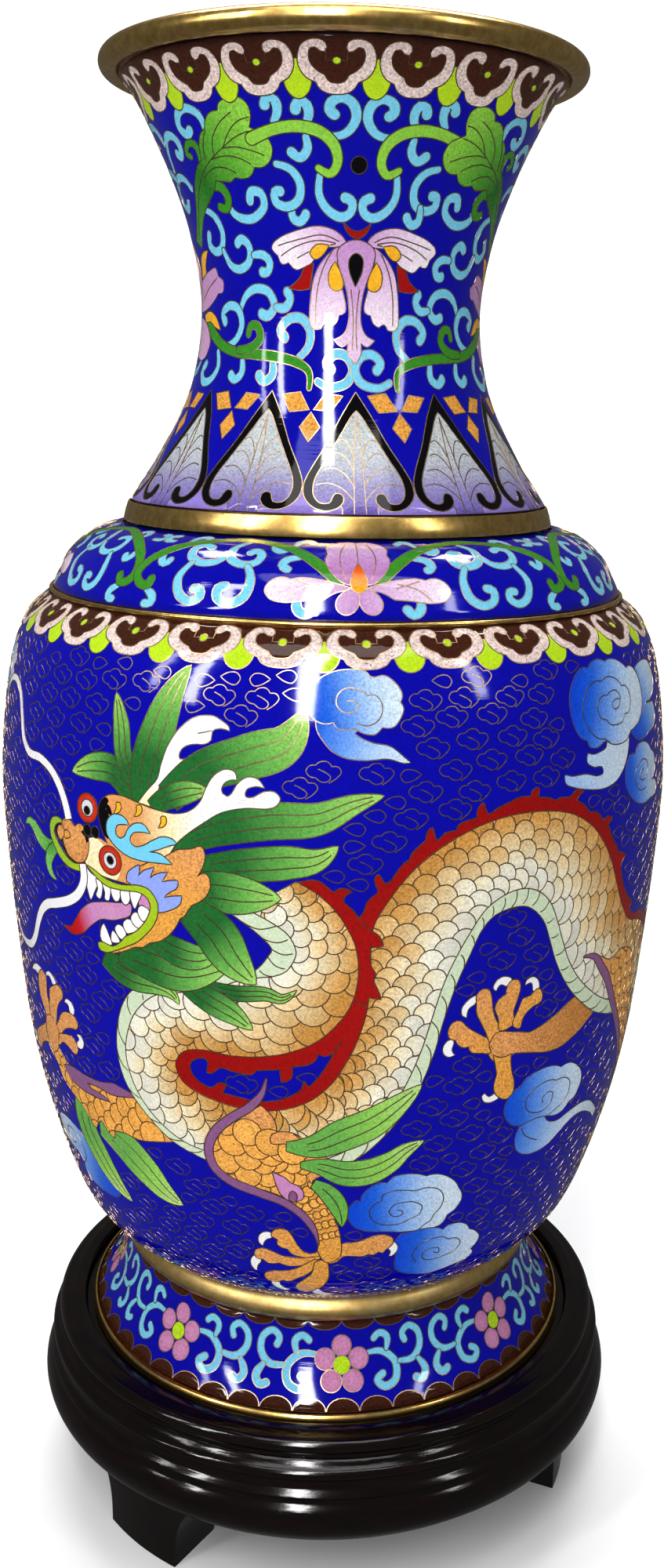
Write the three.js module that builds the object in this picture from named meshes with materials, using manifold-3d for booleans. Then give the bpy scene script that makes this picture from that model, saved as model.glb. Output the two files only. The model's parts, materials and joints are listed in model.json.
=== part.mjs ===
// A cloisonne vase, 380 mm tall, standing in the recess of a turned wooden stand with three feet.
// Millimetres, +Z up, origin on the table under the stand's centre. Azimuth 0 faces -Y.
// The copper shells carry the enamel outside and a counter-enamel lining inside; brass strips cover
// every soldered seam. Touching pieces keep a gap of JOIN so that no two solids overlap.
import * as THREE from "three";
import { mergeVertices } from "three/addons/utils/BufferGeometryUtils.js";
import Module from "manifold-3d";

const wasm = await Module();
wasm.setup();

// ---- driving dimensions -------------------------------------------------------------------------
const SEGMENTS = 32; // facets round each turned piece
const ENAMEL = 1.0; // thickness of the fired enamel
const COPPER = 1.2; // thickness of the copper sheet
const LINING = 0.6; // thickness of the enamel inside
const JOIN = 0.3; // gap between pieces that touch

const RIM_RADIUS = 65.5; // centre line of the rolled rim
const RIM_TUBE = 3.3; // radius of the rim's tube
const RIM_HEIGHT = 431.7; // height of the rim's centre line
const WIRE_RADIUS = 84.6; // centre line of the wire round the shoulder's foot
const WIRE_TUBE = 0.7;
const WIRE_HEIGHT = 287.2;

const FOOT_BOTTOM = 55.0; // the vase's lowest point, resting on the stand's deck
const DECK_TOP = FOOT_BOTTOM - JOIN;
const DECK_THICKNESS = 5.5;
const DECK_RADIUS = 79.0;
const STAND_BOTTOM = 25.0; // underside of the stand's ring
const STAND_BORE = 72.0; // inside radius of the ring under the deck
const STAND_FEET = 3;
const FIRST_FOOT_AZIMUTH = -43.5; // degrees, towards the left of the front
const FOOT_SPREAD = 21; // degrees that one foot covers
const FOOT_OUTER = 81.0; // radius of a foot's outer face
const FOOT_INNER = 62.0;
const FOOT_FLARE = 0.6; // how much wider a foot is where it meets the ring
const DOWEL_RADIUS = 3.0;
const DOWEL_CENTRE = 77.0; // distance of the dowels from the stand's axis
const DOWEL_LOW = 13.0;
const DOWEL_HIGH = 37.0;

// ---- outlines of the enamelled surface, [radius, height], going up -------------------------------
const FOOT_LINE = [[75.0, 58.2], [70.3, 63.5], [66.0, 72.0], [63.6, 80.0]];
const BELLY_LINE = [
  [66.5, 88.9], [76.3, 98.0], [82.4, 110.0], [89.4, 133.0], [94.2, 157.0], [97.3, 186.0],
  [99.3, 212.0], [100.2, 233.0], [98.9, 252.0], [96.3, 268.5], [91.7, 280.3], [85.4, 286.3],
];
const SHOULDER_LINE = [[84.2, 288.2], [82.4, 292.0], [79.2, 297.9], [72.2, 303.8], [64.0, 306.4]];
const NECK_LINE = [
  [61.3, 312.9], [52.1, 327.3], [43.6, 345.0], [40.4, 366.0], [43.3, 386.0], [49.5, 404.0], [58.2, 422.0],
  [63.1, 428.4],
];

// ---- helpers ------------------------------------------------------------------------------------
const vector = ([x, y]) => new THREE.Vector2(x, y);

// A smooth line through the points, cut into count steps.
function smooth(points, count) {
  return new THREE.SplineCurve(points.map(vector)).getSpacedPoints(count);
}

// The line moved sideways by distance: inwards, towards the axis, when it is positive.
function inset(line, distance) {
  return line.map((p, i) => {
    const before = line[Math.max(i - 1, 0)];
    const after = line[Math.min(i + 1, line.length - 1)];
    const along = after.clone().sub(before).normalize();
    return new THREE.Vector2(p.x - along.y * distance, p.y + along.x * distance);
  });
}

// Points of an arc of a circle, angles in degrees.
function arc(cx, cy, radius, from, to, count) {
  const points = [];
  for (let i = 0; i <= count; i += 1) {
    const angle = THREE.MathUtils.degToRad(from + ((to - from) * i) / count);
    points.push(new THREE.Vector2(cx + radius * Math.cos(angle), cy + radius * Math.sin(angle)));
  }
  return points;
}

// Keeps only positions, welds them, and drops the empty triangles that a lathe leaves on its axis.
function weld(geometry) {
  geometry.deleteAttribute("normal");
  geometry.deleteAttribute("uv");
  const welded = mergeVertices(geometry, 1e-3);
  const kept = [];
  const index = welded.index.array;
  for (let i = 0; i < index.length; i += 3) {
    const [a, b, c] = [index[i], index[i + 1], index[i + 2]];
    if (a !== b && b !== c && c !== a) kept.push(a, b, c);
  }
  welded.setIndex(kept);
  return welded;
}

// Area inside an outline, positive when it runs anticlockwise.
function signedArea(outline) {
  return THREE.ShapeUtils.area(outline);
}

// A turned solid: the outline of its section, [radius, height], spun round Z.
function turned(outline) {
  const points = signedArea(outline) > 0 ? outline : outline.slice().reverse();
  const onAxis = points.some((p) => p.x === 0);
  let ordered = points;
  if (onAxis) {
    // start just after the stretch that lies on the axis
    const start = points.findIndex((p, i) => p.x === 0 && points[(i + 1) % points.length].x > 0);
    ordered = points.map((_, i) => points[(start + i) % points.length]);
  } else {
    ordered = [...points, points[0]];
  }
  const lathe = new THREE.LatheGeometry(ordered, SEGMENTS);
  lathe.rotateX(Math.PI / 2);
  return weld(lathe);
}

// The section of a skin that lies between two depths under a line.
function skin(line, outerDepth, innerDepth) {
  return [...inset(line, outerDepth), ...inset(line, innerDepth).reverse()];
}

// A geometry as a manifold solid, and back.
function solidOf(geometry) {
  const vertProperties = new Float32Array(geometry.getAttribute("position").array);
  const triVerts = new Uint32Array(geometry.index.array);
  return new wasm.Manifold(new wasm.Mesh({ numProp: 3, vertProperties, triVerts }));
}

function geometryOf(solid) {
  const mesh = solid.getMesh();
  const geometry = new THREE.BufferGeometry();
  geometry.setAttribute("position", new THREE.BufferAttribute(new Float32Array(mesh.vertProperties), 3));
  geometry.setIndex(new THREE.BufferAttribute(new Uint32Array(mesh.triVerts), 1));
  return geometry;
}

// What is left of a geometry after the tools are cut out of it.
function cut(geometry, tools) {
  return geometryOf(tools.reduce((solid, tool) => solid.subtract(solidOf(tool)), solidOf(geometry)));
}

const object = new THREE.Group();

function add(parent, name, geometry, material) {
  const mesh = new THREE.Mesh(geometry, material);
  mesh.name = name;
  parent.add(mesh);
  return mesh;
}

// ---- materials ----------------------------------------------------------------------------------
const enamel = new THREE.MeshStandardMaterial({ color: 0x0a0a9c, roughness: 0.12, metalness: 0.0 });
const lining = new THREE.MeshStandardMaterial({ color: 0x2a8fae, roughness: 0.25, metalness: 0.0 });
const copper = new THREE.MeshStandardMaterial({ color: 0xb87333, roughness: 0.35, metalness: 1.0 });
const brass = new THREE.MeshStandardMaterial({ color: 0xd4a850, roughness: 0.22, metalness: 1.0 });
const wood = new THREE.MeshStandardMaterial({ color: 0x1a0c08, roughness: 0.15, metalness: 0.0 });

// ---- depths of the layers under the enamel's surface ---------------------------------------------
const COPPER_TOP = ENAMEL + JOIN;
const COPPER_BACK = COPPER_TOP + COPPER;
const LINING_TOP = COPPER_BACK + JOIN;
const LINING_BACK = LINING_TOP + LINING;

// ---- the vase -----------------------------------------------------------------------------------
const vase = new THREE.Group();
object.add(vase);

const neckLine = smooth(NECK_LINE, 9);
const shoulderLine = smooth(SHOULDER_LINE, 4);
const bellyLine = smooth(BELLY_LINE, 11);
const footLine = smooth(FOOT_LINE, 3);

// The neck: enamel, copper and lining; the copper runs up into the rim and down behind the collar.
function neck() {
  const top = neckLine[neckLine.length - 1];
  const bottom = neckLine[0];
  const copperLine = [
    new THREE.Vector2(bottom.x + 1.6, bottom.y - 5.2),
    ...neckLine,
    new THREE.Vector2(top.x - 0.1, top.y + 4.2),
  ];
  add(vase, "neck_enamel", turned(skin(neckLine, 0, ENAMEL)), enamel);
  add(vase, "neck_copper", turned(skin(copperLine, COPPER_TOP, COPPER_BACK)), copper);
  add(vase, "neck_lining", turned(skin(neckLine, LINING_TOP, LINING_BACK)), lining);
}

// The rolled brass rim, a ring of round section.
function rim() {
  const section = arc(RIM_RADIUS, RIM_HEIGHT, RIM_TUBE, 0, 324, 9);
  add(vase, "rim_ring", turned(section), brass);
}

// The brass strip over the seam between the neck and the shoulder.
function collar() {
  const section = [[62.4, 306.9], [63.4, 306.9], [62.9, 309.8], [62.0, 312.3], [61.5, 312.3], [61.9, 309.8]];
  add(vase, "collar_band", turned(section.map(vector)), brass);
}

// Shoulder and belly: two enamelled fields on one copper body, with a wire between them.
function body() {
  const copperLine = [...bellyLine, ...shoulderLine];
  const wire = arc(WIRE_RADIUS, WIRE_HEIGHT, WIRE_TUBE, 0, 300, 5);
  add(vase, "shoulder_enamel", turned(skin(shoulderLine, 0, ENAMEL)), enamel);
  add(vase, "shoulder_wire", turned(wire), brass);
  add(vase, "belly_enamel", turned(skin(bellyLine, 0, ENAMEL)), enamel);
  add(vase, "body_copper", turned(skin(copperLine, COPPER_TOP, COPPER_BACK)), copper);
  add(vase, "body_lining", turned(skin(copperLine, LINING_TOP, LINING_BACK)), lining);
}

// The copper disc that closes the body, with its lining, soldered inside the waist.
function floorOfBody() {
  const disc = [[0, 86.4], [61.6, 86.4], [61.6, 87.6], [0, 87.6]];
  const cover = [[0, 87.9], [60.2, 87.9], [60.2, 88.5], [0, 88.5]];
  add(vase, "floor_copper", turned(disc.map(vector)), copper);
  add(vase, "floor_lining", turned(cover.map(vector)), lining);
}

// The brass strip at the waist, a shallow cove between the belly and the foot.
function waist() {
  const section = [[62.0, 80.3], [63.7, 80.3], [63.9, 84.0], [65.6, 88.0], [63.0, 88.0], [62.0, 84.0]];
  add(vase, "waist_band", turned(section.map(vector)), brass);
}

// The flared foot: enamel on copper, standing on a brass ring.
function foot() {
  const ring = [
    [71.6, FOOT_BOTTOM], [76.4, FOOT_BOTTOM], [76.9, 55.8], [76.6, 57.2],
    [75.7, 57.8], [75.2, 57.2], [74.4, 56.2], [71.6, 56.2],
  ];
  const copperLine = footLine.slice();
  add(vase, "foot_enamel", turned(skin(footLine, 0, ENAMEL)), enamel);
  add(vase, "foot_copper", turned(skin(copperLine, COPPER_TOP, COPPER_BACK)), copper);
  add(vase, "foot_ring", turned(ring.map(vector)), brass);
}

// ---- the stand ----------------------------------------------------------------------------------
const footAzimuths = Array.from({ length: STAND_FEET }, (_, i) =>
  THREE.MathUtils.degToRad(FIRST_FOOT_AZIMUTH + (360 / STAND_FEET) * i),
);

// The turned ring: a lip round the recess, two beads, a ledge, and a bullnose under it.
function standRing() {
  const outline = [
    new THREE.Vector2(79.3, 49.0 - JOIN),
    new THREE.Vector2(79.3, 57.4),
    new THREE.Vector2(82.4, 58.0),
    ...arc(85.2, 54.8, 2.3, 75, -75, 3),
    new THREE.Vector2(87.6, 50.9),
    ...arc(87.9, 47.8, 1.9, 60, -60, 2),
    new THREE.Vector2(89.0, 43.6),
    new THREE.Vector2(90.3, 41.6),
    ...arc(84.3, 34.2, 8.0, 50, -60, 6),
    new THREE.Vector2(86.0, STAND_BOTTOM),
    new THREE.Vector2(STAND_BORE, STAND_BOTTOM),
    new THREE.Vector2(STAND_BORE, 49.0 - JOIN),
  ];
  const holes = footAzimuths.map((azimuth) => dowelPeg(azimuth, DOWEL_RADIUS + JOIN, DOWEL_HIGH + 1));
  add(object, "stand_ring", cut(turned(outline), holes), wood);
}

function standDeck() {
  const low = DECK_TOP - DECK_THICKNESS;
  const section = [[0, low], [DECK_RADIUS, low], [DECK_RADIUS, DECK_TOP], [0, DECK_TOP]];
  add(object, "stand_deck", turned(section.map(vector)), wood);
}

// A round peg on a foot's centre line, from under DOWEL_LOW up to the given height.
function dowelPeg(azimuth, radius, top) {
  const low = radius > DOWEL_RADIUS ? DOWEL_LOW - 1 : DOWEL_LOW;
  const peg = new THREE.CylinderGeometry(radius, radius, top - low, 12);
  peg.rotateX(Math.PI / 2);
  peg.translate(0, -DOWEL_CENTRE, (top + low) / 2);
  peg.rotateZ(azimuth);
  return weld(peg);
}

// One foot: a curved block whose sides spread upwards like a bracket, with a dowel hole.
function footBlock(azimuth) {
  const half = THREE.MathUtils.degToRad(FOOT_SPREAD / 2);
  const height = STAND_BOTTOM - JOIN;
  const steps = 4;
  const shape = new THREE.Shape();
  for (let i = 0; i <= steps; i += 1) {
    const angle = -half + (2 * half * i) / steps;
    const [x, y] = [FOOT_OUTER * Math.sin(angle), -FOOT_OUTER * Math.cos(angle)];
    if (i === 0) shape.moveTo(x, y);
    else shape.lineTo(x, y);
  }
  for (let i = steps; i >= 0; i -= 1) {
    const angle = -half + (2 * half * i) / steps;
    shape.lineTo(FOOT_INNER * Math.sin(angle), -FOOT_INNER * Math.cos(angle));
  }
  const block = new THREE.ExtrudeGeometry(shape, { depth: height, steps: 4, bevelEnabled: false });
  const position = block.getAttribute("position");
  for (let i = 0; i < position.count; i += 1) {
    const level = position.getZ(i) / height;
    position.setX(i, position.getX(i) * (1 + FOOT_FLARE * level ** 3));
  }
  block.rotateZ(azimuth);
  return cut(weld(block), [dowelPeg(azimuth, DOWEL_RADIUS + JOIN, DOWEL_HIGH + 1)]);
}

function standFeet() {
  footAzimuths.forEach((azimuth, i) => {
    add(object, `stand_foot_${i + 1}`, footBlock(azimuth), wood);
    add(object, `foot_dowel_${i + 1}`, dowelPeg(azimuth, DOWEL_RADIUS, DOWEL_HIGH), wood);
  });
}

// ---- assembly -----------------------------------------------------------------------------------
neck();
rim();
collar();
body();
floorOfBody();
waist();
foot();
standRing();
standDeck();
standFeet();

export default object;
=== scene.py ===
"""The cloisonne dragon vase on its turned wooden stand, in metres, in the frame of the CAD model."""
import json
import math

import bmesh
import bpy
import numpy as np
from mathutils import Matrix, Vector
from mathutils.geometry import delaunay_2d_cdt


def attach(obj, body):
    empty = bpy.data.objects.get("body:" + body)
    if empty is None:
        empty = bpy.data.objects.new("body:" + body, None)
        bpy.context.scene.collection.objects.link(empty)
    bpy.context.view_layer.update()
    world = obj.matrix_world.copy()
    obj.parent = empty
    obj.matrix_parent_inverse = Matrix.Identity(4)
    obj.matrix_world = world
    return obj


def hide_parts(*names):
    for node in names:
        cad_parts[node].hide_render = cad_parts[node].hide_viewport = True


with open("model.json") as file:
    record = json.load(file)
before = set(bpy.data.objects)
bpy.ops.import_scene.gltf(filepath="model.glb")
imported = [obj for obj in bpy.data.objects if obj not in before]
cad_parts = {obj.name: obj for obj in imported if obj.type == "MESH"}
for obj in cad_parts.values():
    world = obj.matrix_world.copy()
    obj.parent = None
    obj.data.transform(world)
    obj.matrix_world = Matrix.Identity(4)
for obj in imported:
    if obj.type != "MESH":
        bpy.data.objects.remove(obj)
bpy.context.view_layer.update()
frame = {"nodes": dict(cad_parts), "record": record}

scene = bpy.context.scene

# ---------------------------------------------------------------- paint
SRGB_FULL = 255.0
GLASS_SHADE = 0.8  # glass over copper is darker than the same colour on paper


def linear(colour):
    """Three 0-255 sRGB values as the linear light that the glass gives back."""
    c = np.array(colour, float) / SRGB_FULL
    return GLASS_SHADE * np.where(c <= 0.04045, c / 12.92, ((c + 0.055) / 1.055) ** 2.4)


def plain(colour, grain=0.3):
    """One colour all over. Grain is how much the ground glass shows in it."""
    value = np.append(linear(colour), grain)
    return lambda x, s: np.broadcast_to(value, (len(x), 4))


def blend(colours, grain):
    """A function that melts the colours into each other as its value goes from 0 to 1."""
    values = np.array([np.append(linear(c), grain) for c in colours])
    stops = np.linspace(0, 1, len(values))
    return lambda t: np.stack([np.interp(t, stops, values[:, k]) for k in range(4)], -1)


def fade(colours, start, end, grain=0.3):
    """Colours that melt into each other along the line from start to end."""
    mix = blend(colours, grain)
    along = np.subtract(end, start)
    return lambda x, s: mix(((x - start[0]) * along[0] + (s - start[1]) * along[1]) / along.dot(along))


def glow(colours, centre, radius, grain=0.3):
    """Colours that melt into each other from a centre outwards."""
    mix = blend(colours, grain)
    return lambda x, s: mix(np.hypot(x - centre[0], s - centre[1]) / radius)


# ---------------------------------------------------------------- lines and outlines
def curve(points, step=0.9, closed=True):
    """A smooth line through points. A point with a third number is a corner."""
    spots = [np.array(p[:2], float) for p in points]
    sharp = [len(p) == 3 for p in points]
    count = len(spots)
    out = []
    for i in range(count if closed else count - 1):
        j = (i + 1) % count
        b, c = spots[i], spots[j]
        gap = math.dist(b, c)
        if gap < 1e-6:
            continue
        root = math.sqrt(gap)
        smooth_b = not sharp[i] and (closed or i > 0)
        smooth_c = not sharp[j] and (closed or j < count - 1)
        pull_b = pull_c = None
        if smooth_b:
            a = spots[i - 1]
            before = math.sqrt(max(math.dist(a, b), 1e-6))
            pull_b = (c - b) + root * ((b - a) / before - (c - a) / (before + root))
        if smooth_c:
            d = spots[(j + 1) % count]
            after = math.sqrt(max(math.dist(c, d), 1e-6))
            pull_c = (c - b) + root * ((d - c) / after - (d - b) / (root + after))
        if pull_b is None:
            pull_b = (c - b) if pull_c is None else 1.5 * (c - b) - 0.5 * pull_c
        if pull_c is None:
            pull_c = 1.5 * (c - b) - 0.5 * pull_b
        parts = max(1, round(gap / step))
        for k in range(parts):
            t = k / parts
            out.append(
                b * (2 * t**3 - 3 * t**2 + 1)
                + pull_b * (t**3 - 2 * t**2 + t)
                + c * (3 * t**2 - 2 * t**3)
                + pull_c * (t**3 - t**2)
            )
    if not closed:
        out.append(spots[-1])
    return np.array(out)


def closed_wire(points, step):
    """A smooth line through points that comes back to the first of them."""
    line = curve(points, step)
    return np.vstack([line, line[:1]])


def spline(points, parts):
    """A smooth line through points, with the same number of steps from each one to the next."""
    p = np.array(points, float)
    p = np.vstack([2 * p[0] - p[1], p, 2 * p[-1] - p[-2]])
    t = np.arange(parts)[:, None] / parts
    spans = [
        0.5 * (2 * b + (c - a) * t + (2 * a - 5 * b + 4 * c - d) * t**2 + (3 * b - a - 3 * c + d) * t**3)
        for a, b, c, d in zip(p[:-3], p[1:-2], p[2:-1], p[3:])
    ]
    return np.concatenate(spans + [p[-2:-1]])


def sideways(line):
    """Unit vectors to the left of a line, and how far along it each point is, from 0 to 1."""
    run = np.gradient(line, axis=0)
    run /= np.maximum(np.hypot(run[:, 0], run[:, 1]), 1e-9)[:, None]
    steps = np.hypot(*np.diff(line, axis=0).T)
    along = np.concatenate([[0], np.cumsum(steps)])
    return np.stack([-run[:, 1], run[:, 0]], -1), along / along[-1]


def circle(centre, radius, parts=20, squash=1.0):
    """A round outline, or an oval one that is squash times as high as it is wide."""
    a = np.arange(parts) * math.tau / parts
    return np.stack([centre[0] + radius * np.cos(a), centre[1] + radius * squash * np.sin(a)], -1)


def moved(points, dx=0.0, ds=0.0, flip=False, scale=1.0):
    """Points scaled about the origin, mirrored left to right, then moved. Corners stay corners."""
    across = -scale if flip else scale
    return [(dx + across * p[0], ds + scale * p[1]) + tuple(p[2:]) for p in points]


def mirrored(half):
    """An outline that runs down its right half, then up the same half mirrored."""
    return half + moved(half[-2::-1], flip=True)


# ---------------------------------------------------------------- flat drawing
class Drawing:
    """Enamel cells and wires on one band of the vase, laid flat, each covering those before it."""

    LONGEST = 2.5  # mm, so that a straight edge still follows the round surface

    def __init__(self, left, right, bottom, top, paint):
        self.box = (left, right, bottom, top)
        self.cells = []
        self.lines = []
        self.cell([(left, bottom), (right, bottom), (right, top), (left, top)], paint)

    def cell(self, outline, paint, inside=None, wired=True):
        """A closed patch of enamel. inside keeps it within an earlier cell, and unwired it is only
        brushed onto that one."""
        outline = np.array(outline, float)[:, :2]
        run = np.hypot(*(np.roll(outline, -1, 0) - outline).T)
        if run.max() > self.LONGEST:
            ends = np.roll(outline, -1, 0)
            outline = np.concatenate([
                a + (b - a) * (np.arange(n) / n)[:, None]
                for a, b, n in zip(outline, ends, np.maximum(np.ceil(run / self.LONGEST), 1).astype(int))
            ])
        self.cells.append((outline, paint, inside, wired))
        return len(self.cells) - 1

    def shape(self, points, paint, inside=None, wired=True, step=0.9):
        """A patch with a smooth outline."""
        return self.cell(curve(points, step), paint, inside, wired)

    def line(self, points, on):
        """An open wire, seen only where it lies on one of the cells in on."""
        self.lines.append((np.array(points, float)[:, :2], on))

    def vein(self, points, on, step=0.9):
        """An open wire along a smooth line, seen only on cell number on."""
        self.line(curve(points, step, closed=False), [on])

    def ribbon(self, spine, widths, paint, round_ends=True):
        """A band of changing width along a smooth spine."""
        line = curve(spine, 0.8, closed=False)
        side, along = sideways(line)
        half = np.interp(along, np.linspace(0, 1, len(widths)), widths) / 2
        left = line + side * half[:, None]
        right = line - side * half[:, None]
        ends = []
        for at, first in ((-1, 0), (0, 1)):
            if not round_ends or half[at] < 0.25:
                ends.append(np.empty((0, 2)))
                continue
            facing = side[at] * (1 if first == 0 else -1)
            ahead = np.array([facing[1], -facing[0]])
            turn = np.linspace(0, math.pi, 7)[1:-1, None]
            ends.append(line[at] + half[at] * (np.cos(turn) * facing + np.sin(turn) * ahead))
        return self.cell(np.concatenate([left, ends[0], right[::-1], ends[1]]), paint)

    def leaf(self, spine, width, colours, belly=0.35, base=0.4, veins=2):
        """A long leaf or flame: widest at belly, pointed at the end of its spine, with wire veins."""
        line = curve(spine, 1.0, closed=False)
        side, along = sideways(line)
        swell = base + (1 - base) * np.sin(np.clip(along / belly, 0, 1) * math.pi / 2)
        taper = np.cos(np.clip((along - belly) / (1 - belly), 0, 1) * math.pi / 2) ** 0.7
        half = width / 2 * np.where(along < belly, swell, taper)
        half[-1] = 0
        left = line + side * half[:, None]
        right = line - side * half[:, None]
        outline = np.concatenate([left, right[-2::-1]])
        number = self.cell(outline, fade(colours, spine[0], spine[-1], 0.65))
        for k in range(veins):
            off = (k + 1) / (veins + 1) * 2 - 1
            keep = (along > 0.12) & (along < 0.95)
            self.line((line + side * (half * off)[:, None])[keep], [number])
        return number


def inside_outline(outline, x, s):
    """True for each point (x, s) that lies inside a closed outline."""
    hit = np.zeros(len(x), bool)
    x0, s0 = outline[-1]
    for x1, s1 in outline:
        if s0 != s1:
            spans = (s0 > s) != (s1 > s)
            hit[spans] ^= x[spans] < (x1 - x0) * (s[spans] - s0) / (s1 - s0) + x0
        x0, s0 = x1, s1
    return hit


class Raster:
    """Which cell shows at each spot of a drawing, looked up on a fine grid."""

    PITCH = 0.3  # mm

    def __init__(self, drawing):
        left, right, bottom, top = drawing.box
        self.left, self.bottom = left, bottom
        self.wide = int((right - left) / self.PITCH) + 1
        self.high = int((top - bottom) / self.PITCH) + 1
        self.top_cell = np.zeros((self.high, self.wide), int)
        for number, (outline, _, inside, _) in enumerate(drawing.cells):
            if number == 0:
                continue
            lo = self.index(outline.min(0) - self.PITCH)
            hi = self.index(outline.max(0) + self.PITCH)
            cols, rows = np.meshgrid(np.arange(lo[0], hi[0] + 1), np.arange(lo[1], hi[1] + 1))
            cols, rows = cols.ravel(), rows.ravel()
            x = left + (cols + 0.5) * self.PITCH
            s = bottom + (rows + 0.5) * self.PITCH
            hit = inside_outline(outline, x, s)
            if inside is not None:
                hit &= inside_outline(drawing.cells[inside][0], x, s)
            self.top_cell[rows[hit], cols[hit]] = number

    def index(self, point):
        """The column and row of a point."""
        col = int(np.clip((point[0] - self.left) / self.PITCH, 0, self.wide - 1))
        row = int(np.clip((point[1] - self.bottom) / self.PITCH, 0, self.high - 1))
        return col, row

    def look(self, points):
        """The number of the cell that shows at each point."""
        cols = np.clip(((points[:, 0] - self.left) / self.PITCH).astype(int), 0, self.wide - 1)
        rows = np.clip(((points[:, 1] - self.bottom) / self.PITCH).astype(int), 0, self.high - 1)
        return self.top_cell[rows, cols]


# ---------------------------------------------------------------- colours, as 0-255 sRGB
COBALT = (6, 5, 164)
TURQUOISE = (122, 204, 232)
LIME = (186, 220, 40)
BROWN = (72, 36, 22)
PEARL = (226, 206, 200)
GOLD = (226, 164, 78)
TAN = (222, 160, 98)
SAND = (238, 200, 140)
CREAM = (244, 230, 184)
WHITE = (240, 240, 242)
GREY_WHITE = (212, 214, 222)
PLATE = (206, 220, 192)
RED = (164, 20, 18)
EYE_RED = (214, 62, 34)
ORANGE = (236, 86, 20)
YELLOW = (244, 184, 50)
PINK = (202, 142, 190)
PALE_PINK = (224, 196, 224)
ORCHID = (196, 150, 200)
BLUSH = (240, 228, 238)
PURPLE = (142, 96, 140)
LILAC = (150, 168, 236)
FOREST = (40, 110, 52)
LEAF = (110, 174, 84)
SPRING = (166, 212, 112)
LIP_GREEN = (168, 196, 40)
BLACK = (6, 5, 8)

# ---------------------------------------------------------------- the dragon on the belly
# Every drawing is in mm: x goes round the vase, right of the front, and s goes up the profile. R0 is the
# radius that x is measured at.
BELLY_R0 = 100.0
BELLY_TOP = 209.0
BELLY_BORDER = 204.2  # up to the middle of the border's cloud heads
RUYI_ROUND = 27  # cloud heads in that border
RUYI_AT = 8.4  # where one of them is

# The dragon's body from the neck to the tail, as matched points on the edge of its back, on the line
# between scales and belly plates, and on the edge of its belly.
BACK = [
    (-9, 144), (-4, 141), (0.5, 136.8), (4, 131.5), (6.3, 126), (7, 119), (5.8, 112), (2.5, 106),
    (-3, 100.5), (-10, 97), (-18, 95), (-27, 94.3), (-34, 94.8), (-40, 93.8), (-43, 91), (-43.6, 88),
    (-42, 84.5), (-38, 82), (-33, 80.5), (-27, 79.3), (-20, 78.8), (-12, 80), (-5, 83), (0.5, 88),
    (4, 93.5), (7, 100), (9.3, 108), (10, 116), (10, 124), (10.5, 132), (14.5, 139.5), (20.5, 147),
    (28.5, 153), (38, 157.2), (48, 159), (58, 158.7), (67, 156.7), (75, 152.3), (81, 146.5),
    (86, 140), (90.5, 132.5), (95.5, 125), (102, 119), (110, 116.5), (119, 113), (128, 106),
    (136, 97), (146, 90), (158, 88), (169, 92), (177, 101), (180, 113), (177, 125), (170, 134),
    (164, 142), (157, 147), (150, 150),
]
PLATES = [
    (-22, 136), (-15, 132.5), (-11, 129.5), (-9.2, 126), (-9.3, 123.3), (-11.5, 119.7), (-15, 118),
    (-18.5, 117.4), (-24, 116), (-30, 113.5), (-37, 111.5), (-44, 109.5), (-49, 108), (-54, 104),
    (-58, 98.5), (-60.8, 90), (-60, 82.5), (-57, 76), (-51.5, 70), (-44, 65.5), (-36, 63.5),
    (-26, 62), (-13, 62), (2, 66), (13, 74), (20, 85), (24.5, 96), (27, 105), (29.8, 115),
    (33, 122.5), (36.3, 128.5), (40, 134), (44, 137), (48.5, 138.6), (53, 138.6), (57.5, 136.8),
    (61.5, 133), (64.5, 127.5), (67.5, 121), (71, 114.5), (76, 108.5), (82, 103.5), (89, 99),
    (97, 95.5), (106, 93), (114, 87), (124, 80), (138, 72), (154, 70), (171, 75), (185, 88),
    (193, 104), (191, 121), (183, 134), (173, 146), (162, 151.5), (152, 153),
]
BELLY_EDGE = [
    (-27, 135), (-20.5, 130.6), (-16.3, 127), (-15.3, 125.2), (-16, 123.8), (-18, 121),
    (-20.5, 118.8), (-23, 118.5), (-27, 118.5), (-32, 117), (-38, 115), (-45, 113), (-50.5, 111),
    (-57, 107.5), (-61.5, 101), (-64, 92), (-63.8, 84), (-61, 77), (-55, 70.3), (-47.5, 64.5),
    (-38, 61), (-27, 59), (-12, 59), (5, 63), (16, 72), (24, 84), (28.3, 95), (30.5, 104.5),
    (33.5, 114.5), (36.8, 122.5), (39.5, 128.5), (42.5, 132), (46, 133.5), (49.5, 134), (53, 133.6),
    (56.5, 131.5), (59.8, 127.8), (62.3, 122.5), (65.3, 116), (68.8, 110.5), (73.5, 105), (80, 99.5),
    (87, 95), (96, 91.5), (104, 89), (112, 83), (122, 76), (137, 68), (154, 66.5), (172, 72),
    (187.5, 86), (196, 103.5), (194, 122), (186, 136), (175, 149), (163, 154), (152.5, 154.5),
]
SCALE_COLOURS = [
    (200, 148, 76), (210, 166, 102), (220, 188, 136), (230, 208, 164), (234, 226, 198), (234, 231, 214),
    (222, 222, 208),
]


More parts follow.
